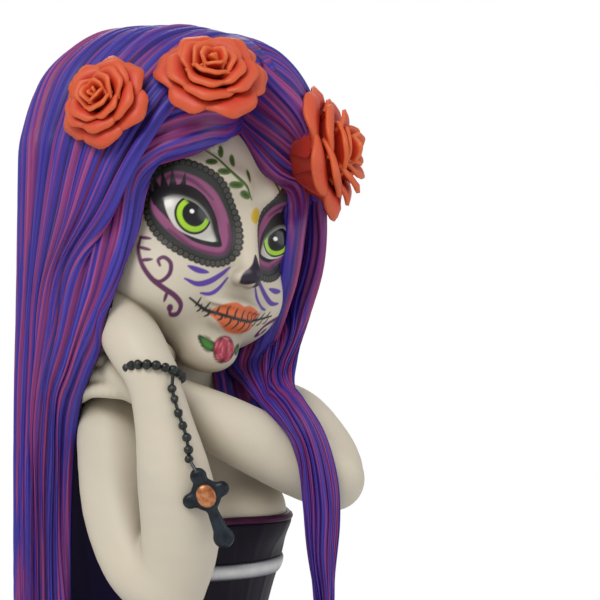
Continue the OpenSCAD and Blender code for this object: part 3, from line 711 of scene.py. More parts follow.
def torso_shape(points):
    shape = column(points, TORSO)
    for side in (-1, 1):
        bust = ball(points, (side * 6.6, -8.6, 26.5), (7.4, 6.2, 6.8))
        shape = melt(shape, bust, 3)
        collarbone = rod(points, (side * 2.4 - 1, -5.2, 46.2), (side * 15, -3.2, 47.4), 1.1, 1.3)
        shape = melt(shape, collarbone, 3.4)
        slope = rod(points, (side * 3 - 2, 3.5, 54), (side * 16, 2.5, 47.5), 4.2, 4.6)
        shape = melt(shape, slope, 5)
    return shape


def arm_shape(points, stations):
    return chain(points, stations, 1.6, 3)


def right_hand_shape(points):
    """The back of a hand laid along the jaw. Its fingers go round behind the neck."""
    shape = chain(points, RIGHT_PALM, 1.6, 3)
    for i in range(4):
        finger = [[-21.5 + 0.4 * i, -6.5 + 1.4 * i, 69.5 - 2.6 * i, 1.9],
                  [-19, 0.5 + i, 69.5 - 2.5 * i, 1.8],
                  [-14, 6 + 0.6 * i, 68.5 - 2.4 * i, 1.5]]
        shape = melt(shape, chain(points, finger, 0.5, 3), 0.9)
    thumb = [[-20, -18, 58, 2.2], [-16.6, -15.6, 58.6, 1.9], [-13, -12.6, 57.4, 1.5]]
    return melt(shape, chain(points, thumb, 0.6, 3), 1.4)


def left_hand_shape(points):
    """A hand resting on the opposite shoulder."""
    shape = chain(points, LEFT_PALM, 1.4, 3)
    for i in range(4):
        finger = [[-19.5 - 0.2 * i, -10 + 1.1 * i, 50.6 + 2.7 * i, 1.6],
                  [-22.8, -8 + 1.2 * i, 51 + 2.8 * i, 1.6],
                  [-25, -3.4 + 1.2 * i, 50.8 + 2.7 * i, 1.5],
                  [-25.4, 1.2 + i, 49 + 2.5 * i, 1.2]]
        shape = melt(shape, chain(points, finger, 0.3, 3), 0.35)
    thumb = [[-15.8, -10.4, 55, 1.8], [-17.6, -7.6, 59, 1.6], [-19, -4, 61.4, 1.3]]
    return melt(shape, chain(points, thumb, 0.4, 3), 0.8)


# Each part: its shape, its stations, how far it reaches past them, and the joint where it melts in
BODY_PARTS = {
    "torso": (torso_shape, TORSO, 4, (0, 0, 0)),
    "right_upper_arm": (lambda p: arm_shape(p, RIGHT_UPPER_ARM), RIGHT_UPPER_ARM, 4, (-17, 1, 45)),
    "left_upper_arm": (lambda p: arm_shape(p, LEFT_UPPER_ARM), LEFT_UPPER_ARM, 4, (17, 1, 45)),
    "right_forearm": (lambda p: arm_shape(p, RIGHT_FOREARM), RIGHT_FOREARM, 4, (-15.4, -18, 15)),
    "left_forearm": (lambda p: arm_shape(p, LEFT_FOREARM), LEFT_FOREARM, 4, (17, -23.5, 33.5)),
    "right_hand": (right_hand_shape, RIGHT_PALM, 14, (-20, -20.8, 54)),
    "left_hand": (left_hand_shape, LEFT_PALM, 14, (-13.5, -12, 50)),
}


CLAY_LOW = np.array([-34.0, -33.0, -4.0])
CLAY_HIGH = np.array([30.0, 18.0, 80.0])
FAR_AWAY = 20.0


class Clay:
    """The skin below the head as a grid of distances, from the middle of the waist."""

    def __init__(self, step):
        self.step = step
        self.low = CLAY_LOW
        self.shape = np.ceil((CLAY_HIGH - CLAY_LOW) / step).astype(int)
        self.field = np.full(self.shape, FAR_AWAY)
        for function, stations, reach, joint in BODY_PARTS.values():
            self.add(function, np.array(stations), reach, np.array(joint, float))

    def add(self, function, stations, reach, joint):
        """Melts a part in, softly near its joint, with a crease where it only lies against the rest."""
        size = stations[:, 3:].max() + reach
        start = ((stations[:, :3].min(axis=0) - size - self.low) / self.step).astype(int)
        stop = ((stations[:, :3].max(axis=0) + size - self.low) / self.step).astype(int) + 2
        start, stop = np.maximum(start, 0), np.minimum(stop, self.shape)
        axes = [self.low[c] + self.step * np.arange(start[c], stop[c]) for c in range(3)]
        points = np.stack(np.meshgrid(*axes, indexing="ij"), axis=-1)
        blend = 0.6 + 3 * np.exp(-((points - joint) ** 2).sum(axis=-1) / 60)
        block = tuple(slice(a, b) for a, b in zip(start, stop))
        self.field[block] = melt(self.field[block], function(points), blend)

    def distance(self, points):
        """The distance at points, in the frame of the figure, read between the cells of the grid."""
        cells = (np.asarray(points) - up(0, 0, 0) - self.low) / self.step
        cells = np.clip(cells, 0, np.array(self.shape) - 1.001)
        base = cells.astype(int)
        part = cells - base
        total = np.zeros(len(cells))
        for i, j, k in np.ndindex(2, 2, 2):
            share = np.prod(np.where([i, j, k], part, 1 - part), axis=1)
            total += share * self.field[base[:, 0] + i, base[:, 1] + j, base[:, 2] + k]
        return total


CLAY = Clay(0.45)


def skin_distance(points):
    """The distance to the whole skin, head and body, in the frame of the figure."""
    return np.minimum(CLAY.distance(points), head_shape(to_head(points)))


def crease_shade(points, normals):
    """How closed in each point of the skin is, from 0 in the open to 1 deep in a crease."""
    shade = np.zeros(len(points))
    for reach, share in ((1.0, 0.35), (2.5, 0.4), (5.0, 0.35)):
        open_way = np.clip(skin_distance(points + reach * normals) / reach, 0, 1)
        shade += share * (1 - open_way)
    return np.clip(shade, 0, 1)


def normals_of(vertices, faces):
    faces = np.asarray(faces)
    first, second, third, fourth = (vertices[faces[:, c]] for c in range(4))
    across = np.cross(third - first, fourth - second)
    total = np.zeros_like(vertices)
    for c in range(4):
        np.add.at(total, faces[:, c], across)
    return unit_rows(total)


def shaded_skin(colors, points, normals):
    # Browner and darker where the skin is closed in, in creases and between parts: painted shade.
    shade = crease_shade(points, normals)[:, None]
    return colors * (1 - 0.75 * shade) + SKIN_SHADE * 0.75 * shade * (1 - 0.5 * shade)


def keep_faces(vertices, colors, faces, chosen):
    """The chosen faces, with only the vertices they use and the colours of those."""
    used = np.unique(faces[chosen])
    index = np.full(len(vertices), -1)
    index[used] = np.arange(len(used))
    return vertices[used], colors[used], index[faces[chosen]]


def build_body(material):
    """The skin below the head, cut into one piece for each part of the body."""
    local, faces = surface_of(CLAY.field, CLAY.low, CLAY.step)
    local = relax(local, faces)
    gaps = np.stack([function(local) for function, *_ in BODY_PARTS.values()], axis=1)
    owner = gaps.argmin(axis=1)[faces[:, 0]]
    points = local + up(0, 0, 0)
    colors = shaded_skin(skin_tones(points, 11), points, normals_of(points, faces))
    for i, name in enumerate(BODY_PARTS):
        part, part_colors, part_faces = keep_faces(points, colors, faces, owner == i)
        piece = make_mesh("skin_" + name, part, part_faces,
                          {"paint": part_colors, "gloss": np.zeros(len(part))})
        place_piece(piece, material, "skin", name)


# ---- Hair: ribbed sheets combed from the parting ----

# The full, rounded crown of hair, and every guide point below, is given from the middle of the waist
HAIR_MIDDLE = np.array([-4.7, 1.8, 84.0])
HAIR_RADII = np.array([30.0, 30.0, 37.0])
NAPE_Z = 40  # below this the hair hangs straight down
UNEVEN_ENDS = 4.5  # how much the cut ends differ in length


def on_head(x, y, z):
    """A point of the head's frame, from the middle of the waist."""
    return from_head([[x, y, z]])[0] - up(0, 0, 0)


def crown_point(direction):
    """The point of the crown of hair in a direction from its middle."""
    d = direction / np.linalg.norm(direction)
    side = np.hypot(d[0] / HAIR_RADII[0], d[1] / HAIR_RADII[1])
    reach = (side ** 3 + abs(d[2] / HAIR_RADII[2]) ** 3) ** (-1 / 3)
    return HAIR_MIDDLE + reach * d


# Where a guide has its points, as shares of the way down from the parting to the ears
ABOVE_EARS = (0, 0.15, 0.32, 0.5, 0.68, 0.82)
TO_THE_EARS = (*ABOVE_EARS, 1)


def combed(along, turn, shares=TO_THE_EARS, past=None):
    """Points over the crown, from the parting at an angle along it to the side at a turn from the face.

    The right side starts a little past the parting and lies over the left side.
    """
    if past is None:
        past = 0.1 if turn < 0 else 0.03
    a, b, facing = math.radians(along), math.radians(turn), turn_z(HEAD_TURN)
    start = facing @ np.array([past, -math.cos(a), math.sin(a)])
    stop = facing @ np.array([math.sin(b), -math.cos(b), 0])
    start = start / np.linalg.norm(start)
    angle = math.acos(np.clip(start @ stop, -1, 1))
    return [crown_point((math.sin((1 - t) * angle) * start + math.sin(t * angle) * stop) / math.sin(angle))
            for t in shares]


def drift(table_u, table_v, seed):
    """Smooth random values from 0 to 1 over two coordinates."""
    rng = np.random.default_rng(seed)
    table = rng.random((97, 97))
    u, v = np.mod(table_u, 96), np.mod(table_v, 96)
    i, k = u.astype(int), v.astype(int)
    fu, fv = u - i, v - k
    fu, fv = fu * fu * (3 - 2 * fu), fv * fv * (3 - 2 * fv)
    top = table[i, k] * (1 - fu) + table[i + 1, k] * fu
    foot = table[i, k + 1] * (1 - fu) + table[i + 1, k + 1] * fu
    return top * (1 - fv) + foot * fv


def resampled(points, count):
    """A smooth curve through points with evenly spaced samples."""
    curve = smooth_curve(points, 10)
    length = lengths_along(curve)
    at = np.linspace(0, length[-1], count)
    return np.stack([np.interp(at, length, curve[:, c]) for c in range(3)], axis=1)


def spread(guides, rows, spacing):
    """A grid of points [column, row] from guide curves, with columns at an even spacing."""
    lines = np.stack([resampled(g, rows) for g in guides])
    fine = smooth_curve(lines.reshape(len(lines), -1), 10).reshape(-1, rows, 3)
    steps = np.linalg.norm(np.diff(fine, axis=0), axis=2)
    width = np.concatenate([[0], np.cumsum(np.percentile(steps, 85, axis=1))])
    columns = int(width[-1] / spacing) + 2
    at = np.linspace(0, width[-1], columns)
    flat = fine.reshape(len(fine), -1)
    grid = np.stack([np.interp(at, width, flat[:, c]) for c in range(flat.shape[1])], axis=1)
    return grid.reshape(columns, rows, 3), at


def strand_ridges(u, v, seed):
    """Heights of the modelled strands: broad locks, strands and fine hairs."""
    sway = 2.2 * drift(u / 16, v * 3 + 5, seed) + 1.1 * drift(u / 5, v * 5, seed + 1)
    locks = np.abs(np.sin(np.pi * (u / 5.2 + sway * 0.4))) ** 0.6
    strands = np.abs(np.sin(np.pi * (u / 1.7 + sway * 0.95))) ** 0.7
    hairs = np.abs(np.sin(np.pi * (u / 0.75 + sway * 2.1)))
    uneven = drift(u / 2.2, v * 4, seed + 2)
    return locks, strands * (0.5 + 0.5 * uneven), hairs


def outward_normals(grid):
    """Normals of a sheet of hair that point away from the head and neck."""
    normals = unit_rows(np.cross(np.gradient(grid, axis=0), np.gradient(grid, axis=1)))
    outward = grid - HAIR_MIDDLE * [1, 1, 0] - [0, 0, 1] * np.clip(grid[..., 2:], NAPE_Z, HAIR_MIDDLE[2])
    return -normals if (normals * outward).sum() < 0 else normals


def magenta_streaks(u, v, seed):
    """Broad and fine strands of magenta, from 0 to 1."""
    sweep = drift(u / 4, v * 2, seed + 5)
    broad = soft_step(0.58, 0.7, drift(u / 0.95 + 3, v * 2.2 + sweep, seed + 3))
    fine = soft_step(0.66, 0.76, drift(u / 0.5, v * 4 + sweep, seed + 7))
    return np.maximum(broad, 0.8 * fine)


def sheet_faces(columns, rows):
    """Faces of a closed sheet: its outer columns, then its inner ones in turn, and its two ends."""
    faces = grid_faces(2 * columns, rows, wrap_rows=True).tolist()
    last = rows - 1
    for i in range(columns - 1):
        rim = [i, i + 1, 2 * columns - 2 - i, 2 * columns - 1 - i]
        faces.append([k * rows for k in rim])
        faces.append([k * rows + last for k in rim][::-1])
    return faces


def hair_sheet(name, guides, material, seed, nodes, thick=1.8, relief=1.0):
    """A sheet of combed hair over guide curves, thinner at its edges and at its cut ends."""
    spacing = 0.26
    rows = 150
    grid, across = spread(guides, rows, spacing)
    u, v = np.meshgrid(across, np.linspace(0, 1, rows), indexing="ij")
    normal = outward_normals(grid)
    locks, strands, hairs = strand_ridges(u, v, seed)
    edge = 0.35 + 0.65 * (soft_step(0, 1.6, u) * soft_step(0, 1.6, across[-1] - u))
    fade = (0.25 + 0.75 * soft_step(0, 0.08, v)) * relief
    height = fade * (0.7 * locks + 0.5 * strands + 0.14 * hairs) * edge
    body = thick * edge * (0.25 + 0.75 * soft_step(1.0, 0.9, v))
    grid[..., 2] -= UNEVEN_ENDS * drift(u / 1.3, 0 * v + 7, seed + 9) * soft_step(0.86, 1.0, v)
    outer = grid + normal * height[..., None]
    inner = grid - normal * body[..., None]
    ring = np.concatenate([outer, inner[::-1]], axis=0)
    paint = {
        "streak": magenta_streaks(u, v, seed),
        "ridge": np.clip(0.4 * locks + 0.45 * strands + 0.2 * hairs, 0, 1),
        "tone": drift(u / 0.9, v * 6, seed + 4),
    }
    # The inner face, towards the head, gets a fifth of each value, so it is coloured near black with few
    # streaks: painted shade.
    values = {key: np.concatenate([value, 0.2 * value[::-1]], axis=0).ravel() for key, value in paint.items()}
    piece = make_mesh(name, ring.reshape(-1, 3) + up(0, 0, 0), sheet_faces(len(grid), rows), values)
    return place_piece(piece, material, "hair", *nodes)


def right_front_guides():
    """From the edge that frames her right cheek back to the side of the head."""
    return [
        [on_head(0.6, -17.6, 22.4), (-6.4, -18.2, 97.2), (-11.9, -20.2, 94.9), (-16, -19.4, 93.8),
         (-18.6, -17.6, 92.4), (-20.1, -17.4, 87.5), (-21.2, -17, 81), (-23.8, -16.6, 74.5),
         (-25.8, -15.4, 68), (-27.4, -14.4, 63.4), (-26.6, -11.6, 58.6), (-26.9, -7.6, 53.9),
         (-26.4, -2.2, 48.9), (-25.2, 3, 42.8), (-24, 7.6, 36), (-23, 11.4, 20), (-22, 13.6, 4),
         (-21.5, 14, -7)],
        [on_head(0.4, -18, 27), (-3.4, -18.6, 101), (-9.4, -21.8, 99.6), (-15, -22, 97.4),
         (-19.4, -20, 95.2), (-22.8, -17.8, 90.6), (-24, -16.8, 81), (-25.6, -16.2, 74.5), (-27, -14, 68),
         (-28.2, -12, 63.4), (-28.5, -8, 58.6), (-28.6, -4, 53.8), (-28.4, 0.7, 48.8), (-27.4, 5.4, 42.7),
         (-26.3, 9.6, 34), (-25, 13.4, 16), (-24, 14.8, -8)],
        combed(48, -44, (0,)) + [
            (-4.8, -20.6, 107), (-12.8, -22, 105.4), (-19.2, -20.4, 102), (-23.8, -17.6, 96.4),
            (-26.6, -15, 88), (-27.8, -11.4, 76), (-29.2, -8.4, 66), (-30.2, -3.4, 57), (-30.2, 2.6, 50),
            (-29.2, 8.4, 38), (-27.6, 13.6, 16), (-26.4, 15.6, -8.5)],
        combed(62, -66) + [
            (-30.6, -6.4, 74), (-31.4, -2, 62), (-31.6, 4.6, 50), (-30.8, 9.8, 36), (-29.4, 13.4, 14),
            (-28.2, 15.4, -9)],
        combed(74, -84) + [
            (-32.4, 2, 70), (-32.2, 6, 57), (-31.8, 9.4, 42), (-30.6, 13.6, 15), (-29.6, 15.4, -9)],
    ]


def right_back_guides():
    """From the side of the head round to the middle of the back."""
    return [
        combed(74, -82) + [
            (-32.2, 1, 70), (-31.8, 5, 57), (-31.2, 9, 42), (-30.2, 13, 15), (-29.2, 15, -9)],
        combed(90, -106, ABOVE_EARS) + [
            (-33, 9, 68), (-32.6, 12.6, 50), (-31.6, 16.4, 25), (-30.6, 18.6, -10)],
        combed(106, -130, ABOVE_EARS) + [
            (-31.2, 16.4, 68), (-30.2, 19.8, 45), (-28.8, 22.6, 15), (-27.6, 23.4, -11)],
        combed(122, -154, ABOVE_EARS) + [
            (-24, 25.4, 66), (-22.6, 26.6, 42), (-20.6, 27.2, 15), (-18.8, 26.6, -12)],
        combed(136, -178, ABOVE_EARS) + [
            (-13.2, 30.8, 66), (-12, 30, 42), (-10.6, 29, 15), (-9, 28, -12.5)],
        combed(146, 160, ABOVE_EARS, past=0.14) + [
            (-2, 31, 66), (-1, 29.6, 42), (0, 28.6, 15), (0, 27.6, -12.5)],
    ]


def left_back_guides():
    """From the middle of the back round to her left side."""
    return [
        combed(140, 176, ABOVE_EARS, past=-0.04) + [
            (-4.6, 30.2, 66), (-3.4, 29, 42), (-2, 28, 15), (-2, 27, -12)],
        combed(124, 148, ABOVE_EARS) + [
            (4.8, 29.2, 66), (6.2, 27.4, 42), (7.4, 26.2, 15), (8, 25.4, -12)],
        combed(106, 122, ABOVE_EARS) + [
            (16.4, 22, 66), (16.6, 21, 42), (17, 21.4, 15), (16.6, 21, -11)],
        combed(92, 100) + [
            (21.6, 12.6, 68), (20.6, 14, 50), (21.6, 16.4, 25), (20.4, 17.4, -10)],
        combed(78, 82) + [
            (25.4, 4.6, 76), (23.4, 5.4, 64), (21.6, 9, 50), (22, 13, 24), (21, 15, -9)],
        combed(66, 62, (0, 0.2, 0.4, 0.6, 0.8)) + [
            (25.4, -3.4, 88), (24.6, -2.4, 78), (22.6, -1, 68), (20.4, 2.6, 57), (20, 9, 44),
            (21, 12.4, 22), (20, 14, -8)],
    ]


def left_front_guides():
    """The hair beside her left cheek, drawn forward into the lock that hangs over the left forearm."""
    return [
        [on_head(-0.6, -16, 21), on_head(7, -16, 10), (10, -10, 82), (10, -7, 72), (9, -3, 63),
         (6, -1.6, 57.5), (3.6, -5, 54), (3.2, -11.1, 51.8), (3.5, -19.4, 47.6), (4.3, -26, 43.8),
         (4.9, -29.6, 39.4), (6.1, -30.4, 31.7), (7, -30.4, 22), (9.6, -29.6, 14.5), (11.2, -28.8, 10)],
        [on_head(-0.6, -17.6, 22.4), on_head(3.6, -22.2, 14.4), on_head(10.5, -21.6, 13.4),
         (13.4, -14.7, 87.1), (12.6, -16, 82.5), (12.2, -15.6, 77.8), (12.2, -14.2, 72),
         (11.6, -12.2, 66), (11, -9.8, 61), (9.4, -8.6, 57), (6.8, -12, 53.6), (5, -18.6, 49.6),
         (4.8, -22.6, 48), (5.4, -27, 44.4), (6.2, -30.2, 39.4), (7, -31.4, 31), (7.8, -31, 22),
         (9.8, -30, 14.5), (11.2, -29, 10)],
        [on_head(-0.2, -18, 27), on_head(7, -23.4, 21.6), on_head(16.6, -20.4, 17.6),
         on_head(22.8, -14.6, 10.6), on_head(24.2, -12.4, 1), on_head(22.8, -10.4, -9), (15, -8, 61),
         (10, -11.8, 54.6), (7, -18.4, 51), (6.8, -23, 49), (7.4, -28, 44.8), (8.4, -31, 38.6),
         (9, -32.6, 30), (9.2, -31.8, 21.4), (10.6, -30.4, 14.5), (11.4, -29.2, 10)],
        combed(50, 42, (0, 0.25, 0.5, 0.75)) + [
            (20.6, -12.6, 90), (22.4, -9.6, 80), (21.4, -8.4, 71), (17, -9, 61.4), (12.4, -12, 54.2),
            (9.2, -18.8, 50.4), (9.2, -24.4, 47.2), (10.4, -29.4, 41), (11, -32, 33), (11.2, -31.8, 26),
            (11.2, -30.8, 18.5), (11.7, -30, 14), (11.5, -29.2, 10)],
        combed(72, 62, (0, 0.25, 0.5, 0.75)) + [
            (24, -5, 92), (24.4, -4.6, 82), (22.6, -6, 71), (18.6, -8, 61), (14, -12, 52.4),
            (11.4, -19.4, 48.8), (11.4, -25.8, 44.8), (12, -29.6, 38.6), (12.7, -31, 31.6),
            (12.9, -31, 26), (12, -30.4, 18.5), (12.2, -29.8, 14), (11.6, -29.2, 10)],
    ]


def chin_guides():
    """The short hair that shows between the neck and the lock, behind the left forearm."""
    return [
        [(3.8, 1.3, 59.9), (2.9, 0, 56.8), (1.3, -3.1, 54.1), (0.5, -5.5, 51.4), (0.6, -6.7, 48.7),
         (1.6, -7.3, 45.6)],
        [(7.8, 0.1, 59.9), (6.8, -0.4, 56.7), (5.1, -3.5, 53.6), (4.3, -6.5, 50.6), (4.4, -8.3, 47.5),
         (5.4, -9.5, 44.4)],
        [(11.7, -1.5, 59.5), (10.6, -1.5, 56.3), (9.4, -3.7, 53.1), (8.6, -6.7, 50.1), (8.5, -9.5, 46.7),
         (9.5, -11, 43.4)],
        [(15.3, -3, 59.1), (14, -2.9, 55.8), (13.2, -4.2, 52.7), (12.5, -7.2, 49.2), (12.2, -10.5, 45.8),
         (13.3, -12.3, 42.3)],
    ]


def build_hair(material):
    hair_sheet("hair_right_front", right_front_guides(), material, 21, ("fringe_right", "hair_right"))
    hair_sheet("hair_right_back", right_back_guides(), material, 31, ("hair_cap", "hair_back"))
    hair_sheet("hair_left_back", left_back_guides(), material, 41, ("hair_left",))
    hair_sheet("hair_behind_chin", chin_guides(), material, 61, ("hair_left",), thick=1.2, relief=0.7)
    hair_sheet("hair_left_front", left_front_guides(), material, 51, ("fringe_left", "front_lock"))


# ---- Roses ----

def petal(middle_turn, half_turn, base_r, rim_r, base_z, rim_z, roll, ruffle, seed):
    """One thick petal round the axis of a rose, as a closed grid: outer face, then inner face."""
    rows, columns = 11, 15
    rng = np.random.default_rng(seed)
    phase = rng.uniform(0, TAU)
    t, s = np.meshgrid(np.linspace(0, 1, rows), np.linspace(-1, 1, columns), indexing="ij")
    wide = np.sin(np.pi * (0.14 + 0.6 * t)) ** 0.7
    rounded = 1 - 0.22 * np.abs(s) ** 2.4 * soft_step(0.3, 1, t)
    lift = t * rounded
    turn = math.radians(middle_turn) + math.radians(half_turn) * s * wide
    curl = np.clip(lift - 0.62, 0, 1) / 0.38
    radius = base_r + (rim_r - base_r) * lift ** 0.75 + roll * curl ** 2 \
        + ruffle * np.sin(2.6 * np.pi * s + phase) * curl
    height = base_z + (rim_z - base_z) * lift - 1.3 * roll * curl ** 3 - 0.05 * s ** 2 * t \
        + 0.9 * ruffle * np.sin(3.4 * s + phase) * curl
    radius = radius + 0.02 * np.abs(s) ** 2 * t
    outer = np.stack([radius * np.cos(turn), radius * np.sin(turn), height], axis=-1)
    normal = unit_rows(np.cross(np.gradient(outer, axis=1), np.gradient(outer, axis=0)))
    thick = 0.036 * (1 - 0.45 * curl) + 0.005
    inner = outer - normal * thick[..., None]
    ring = np.concatenate([outer, inner[::-1]], axis=0)
    rim = np.concatenate([t, t[::-1]], axis=0)
    return ring.reshape(-1, 3), rim.ravel(), 2 * rows, columns


# Whorls of a rose of unit diameter: petals, half turn, radius and height at foot and rim, roll, ruffle
WHORLS = [
    (2, 105, 0.015, 0.045, 0.2, 0.49, 0.0, 0.002),
    (3, 80, 0.03, 0.1, 0.15, 0.51, 0.02, 0.004),
    (3, 74, 0.05, 0.165, 0.1, 0.5, 0.04, 0.007),
    (4, 62, 0.08, 0.235, 0.05, 0.47, 0.06, 0.01),
    (5, 56, 0.11, 0.305, 0.0, 0.42, 0.08, 0.012),
    (6, 50, 0.14, 0.37, -0.03, 0.33, 0.11, 0.014),
]


def rose_points(spin):
    """Points, rim and layer values and faces of a rose of unit diameter that faces up."""
    rng = np.random.default_rng(spin)
    points, rims, layers, faces, count = [], [], [], [], 0
    start = rng.uniform(0, 360)
    for layer, (number, half, base_r, rim_r, base_z, rim_z, roll, ruffle) in enumerate(WHORLS):
        start += 37 + 360 / number / 2
        for k in range(number):
            turn = start + 360 * k / number + rng.uniform(-6, 6)
            reach = rim_r * rng.uniform(0.94, 1.06)
            wide = half * rng.uniform(0.92, 1.08)
            tall = rim_z * rng.uniform(0.95, 1.04)
            seed = int(rng.integers(1e6))
            ring, rim, rows, columns = petal(turn, wide, base_r, reach, base_z, tall, roll, ruffle, seed)
            points.append(ring)
            rims.append(rim)
            layers.append(np.full(len(ring), layer / (len(WHORLS) - 1)))
            grid = grid_faces(rows, columns, wrap_rows=True) + count
            faces.extend(grid.tolist())
            for side in (0, columns - 1):
                edge = [count + i * columns + side for i in range(rows)]
                faces.append(edge if side else edge[::-1])
            count += len(ring)
    return np.vstack(points), np.concatenate(rims), np.concatenate(layers), faces


# Each rose: middle of its back from the middle of the waist, the way it faces, diameter, spin
ROSES = {
    "rose_right": ((-24.6, -14.6, 103), (-0.78, -0.51, 0.33), 19, 2),
    "rose_crown": ((-9.2, -22.6, 106.2), (-0.3, -0.725, 0.6), 21.5, 5),
    "rose_left": ((14.4, -12.6, 95.8), (0.74, -0.62, 0.14), 28, 9),
}


def build_rose(node, material):
    back, facing, diameter, spin = ROSES[node]
    points, rims, layers, faces = rose_points(spin)
    axis = np.array(facing) / np.linalg.norm(facing)
    side = np.cross([0, 0, 1], axis)
    side = side / np.linalg.norm(side)
    placed = points * diameter @ np.stack([side, np.cross(axis, side), axis]) + up(*back)
    piece = make_mesh(node + "_petals", placed, faces, {"rim": rims, "layer": layers})
    place_piece(piece, material, "rose", node)


# ---- Corset, sash and skirt ----

def torso_radius(turn, z):
    shape = np.shape(turn)
    rays = np.stack([np.sin(turn), -np.cos(turn), np.zeros(shape)], axis=-1).reshape(-1, 3)
    start = np.stack([np.zeros(shape), np.zeros(shape), z], axis=-1).reshape(-1, 3)
    points = surface_along(torso_shape, start, rays, 2, 26, 14)
    return np.linalg.norm((points - start)[:, :2], axis=1).reshape(shape)


def round_wall(radius, turn, z):
    """Points at a radius round the waist, from the middle of the waist. Turn 0 is her front."""
    return np.stack([radius * np.sin(turn), -radius * np.cos(turn), z], axis=-1)


def closed_band(name, outer, inner, fold, material, slot, node):
    """A ring from an outer wall and an inner one, both listed from the foot up."""
    ring = np.concatenate([outer, inner[::-1]], axis=0)
    rows, columns = ring.shape[:2]
    faces = grid_faces(rows, columns, wrap_columns=True, wrap_rows=True)
    # The inner wall takes a fold value of 0, the darkest colour: painted shade on the inside.
    folds = np.concatenate([fold, 0 * fold], axis=0).ravel()
    piece = make_mesh(name, ring.reshape(-1, 3) + up(0, 0, 0), faces, {"fold": folds})
    return place_piece(piece, material, slot, node)


CORSET_FOOT = -1.6
CORSET_TOP = 24.8
CORSET_CLOTH = 1.3
BONES = 18  # boned panels round the corset
BAND = (13.8, 17)  # foot and top of the silver band
PIPING = (0.85, 0.8)  # half width and half height of the roll along the top
AROUND = np.linspace(0, TAU, 288, endpoint=False)


def build_corset(satin):
    """A boned corset that follows the torso, with a turned edge and a laced seam at the back."""
    between = np.linspace(CORSET_FOOT + 0.4, CORSET_TOP - 0.4, 60)
    heights = np.concatenate([[CORSET_FOOT], between, [CORSET_TOP]])
    turn, z = np.meshgrid(AROUND, heights)
    radius = torso_radius(turn, z)
    bones = 0.1 * np.exp(-((np.mod(turn * BONES / TAU + 0.5, 1) - 0.5) / 0.11) ** 2)
    lacing = 0.3 * np.exp(-((turn - np.pi) / 0.03) ** 2)
    edge = np.where((heights < CORSET_FOOT + 0.2) | (heights > CORSET_TOP - 0.2), 0.4, 0)[:, None]
    outer = round_wall(radius + CORSET_CLOTH + bones - edge - lacing, turn, z)
    inner = round_wall(radius - 0.3, turn, z)
    # Lighter on the raised bones and towards her sides: painted sheen.
    fold = 0.2 + 2 * bones + 0.3 * np.abs(np.sin(turn)) ** 3
    closed_band("corset_satin", outer, inner, fold, satin, "dark_satin", "corset")


def build_piping(wine):
    """The roll of wine satin along the top of the corset."""
    radius = torso_radius(AROUND, np.full_like(AROUND, CORSET_TOP))
    half_wide, half_tall = PIPING
    rings = []
    for around in TAU * np.arange(10)[::-1] / 10:
        z = np.full_like(AROUND, CORSET_TOP + 0.55 + half_tall * math.sin(around))
        rings.append(round_wall(radius + 0.7 + half_wide * math.cos(around), AROUND, z))
    grid = np.array(rings)
    rows, columns = grid.shape[:2]
    piece = make_mesh("corset_piping_roll", grid.reshape(-1, 3) + up(0, 0, 0),
                      grid_faces(rows, columns, wrap_columns=True, wrap_rows=True),
                      {"fold": np.full(rows * columns, 0.6)})
    place_piece(piece, wine, "wine_piping", "corset_piping")


def build_silver_band(silver):
    turn, z = np.meshgrid(AROUND, np.linspace(*BAND, 9))
    radius = torso_radius(turn, z)
    arch = np.sin(np.pi * (z - BAND[0]) / (BAND[1] - BAND[0]))
    swell = 1.55 + 0.35 * arch ** 0.5 + 0.08 * np.sin(96 * turn) * arch
    outer = round_wall(radius + swell, turn, z)
    inner = round_wall(radius + 1.2, turn, z)
    closed_band("corset_silver_band", outer, inner, arch, silver, "silver_trim", "corset_band")


SASH_FOOT = -8
SASH_HEIGHT = 9


def build_sash(ribbon):
    angles = np.linspace(0, TAU, 240, endpoint=False)
    turn, t = np.meshgrid(angles, np.linspace(0, 1, 26))
    z = SASH_FOOT + SASH_HEIGHT * t
    flare = np.interp(t, [0, 0.2, 0.55, 1], [19, 18.4, 15.6, 13.9])
    drop = 0.5 * np.sin(3 * turn + 4 * t)
    folds = np.abs(np.sin(np.pi * (3.4 * t + 0.22 * np.sin(2 * turn) + 0.1 * drop))) ** 0.7
    outer = round_wall(flare + 0.9 * folds, turn, z)
    inner = round_wall(flare - 0.8, turn, z)
    # The folds also colour the sash, darker in the grooves and lighter on the ridges: painted shade and
    # sheen.
    closed_band("waist_sash_folds", outer, inner, folds, ribbon, "sash_ribbon", "waist_sash")


def ribbon_points(path, across, thick, columns=13, cup=0.4):
    """A ribbon along rows [x, y, z, width], closed round its thickness, cupped across."""
    rows = smooth_curve(path, 6)
    along = unit_rows(np.gradient(rows[:, :3], axis=0))
    side = unit_rows(np.asarray(across, float) - (along @ np.asarray(across, float))[:, None] * along)
    face = np.cross(along, side)
    s = np.linspace(-1, 1, columns)
    lift = cup * (1 - s ** 2) + 0.25 * np.cos(3 * np.pi * s)
    spots = rows[:, None, :3] + rows[:, None, 3:] * s[None, :, None] * side[:, None] \
        + lift[None, :, None] * face[:, None]
    back = spots - thick * face[:, None]
    ring = np.concatenate([spots, back[:, ::-1]], axis=1)
    # Colour values that follow the ripples across the ribbon, lighter on their crests and darker between
    # them: painted shade and sheen.
    folds = np.concatenate([np.tile(0.5 + 0.5 * np.cos(3 * np.pi * s), (len(rows), 1))] * 2, axis=1)
    return ring, folds


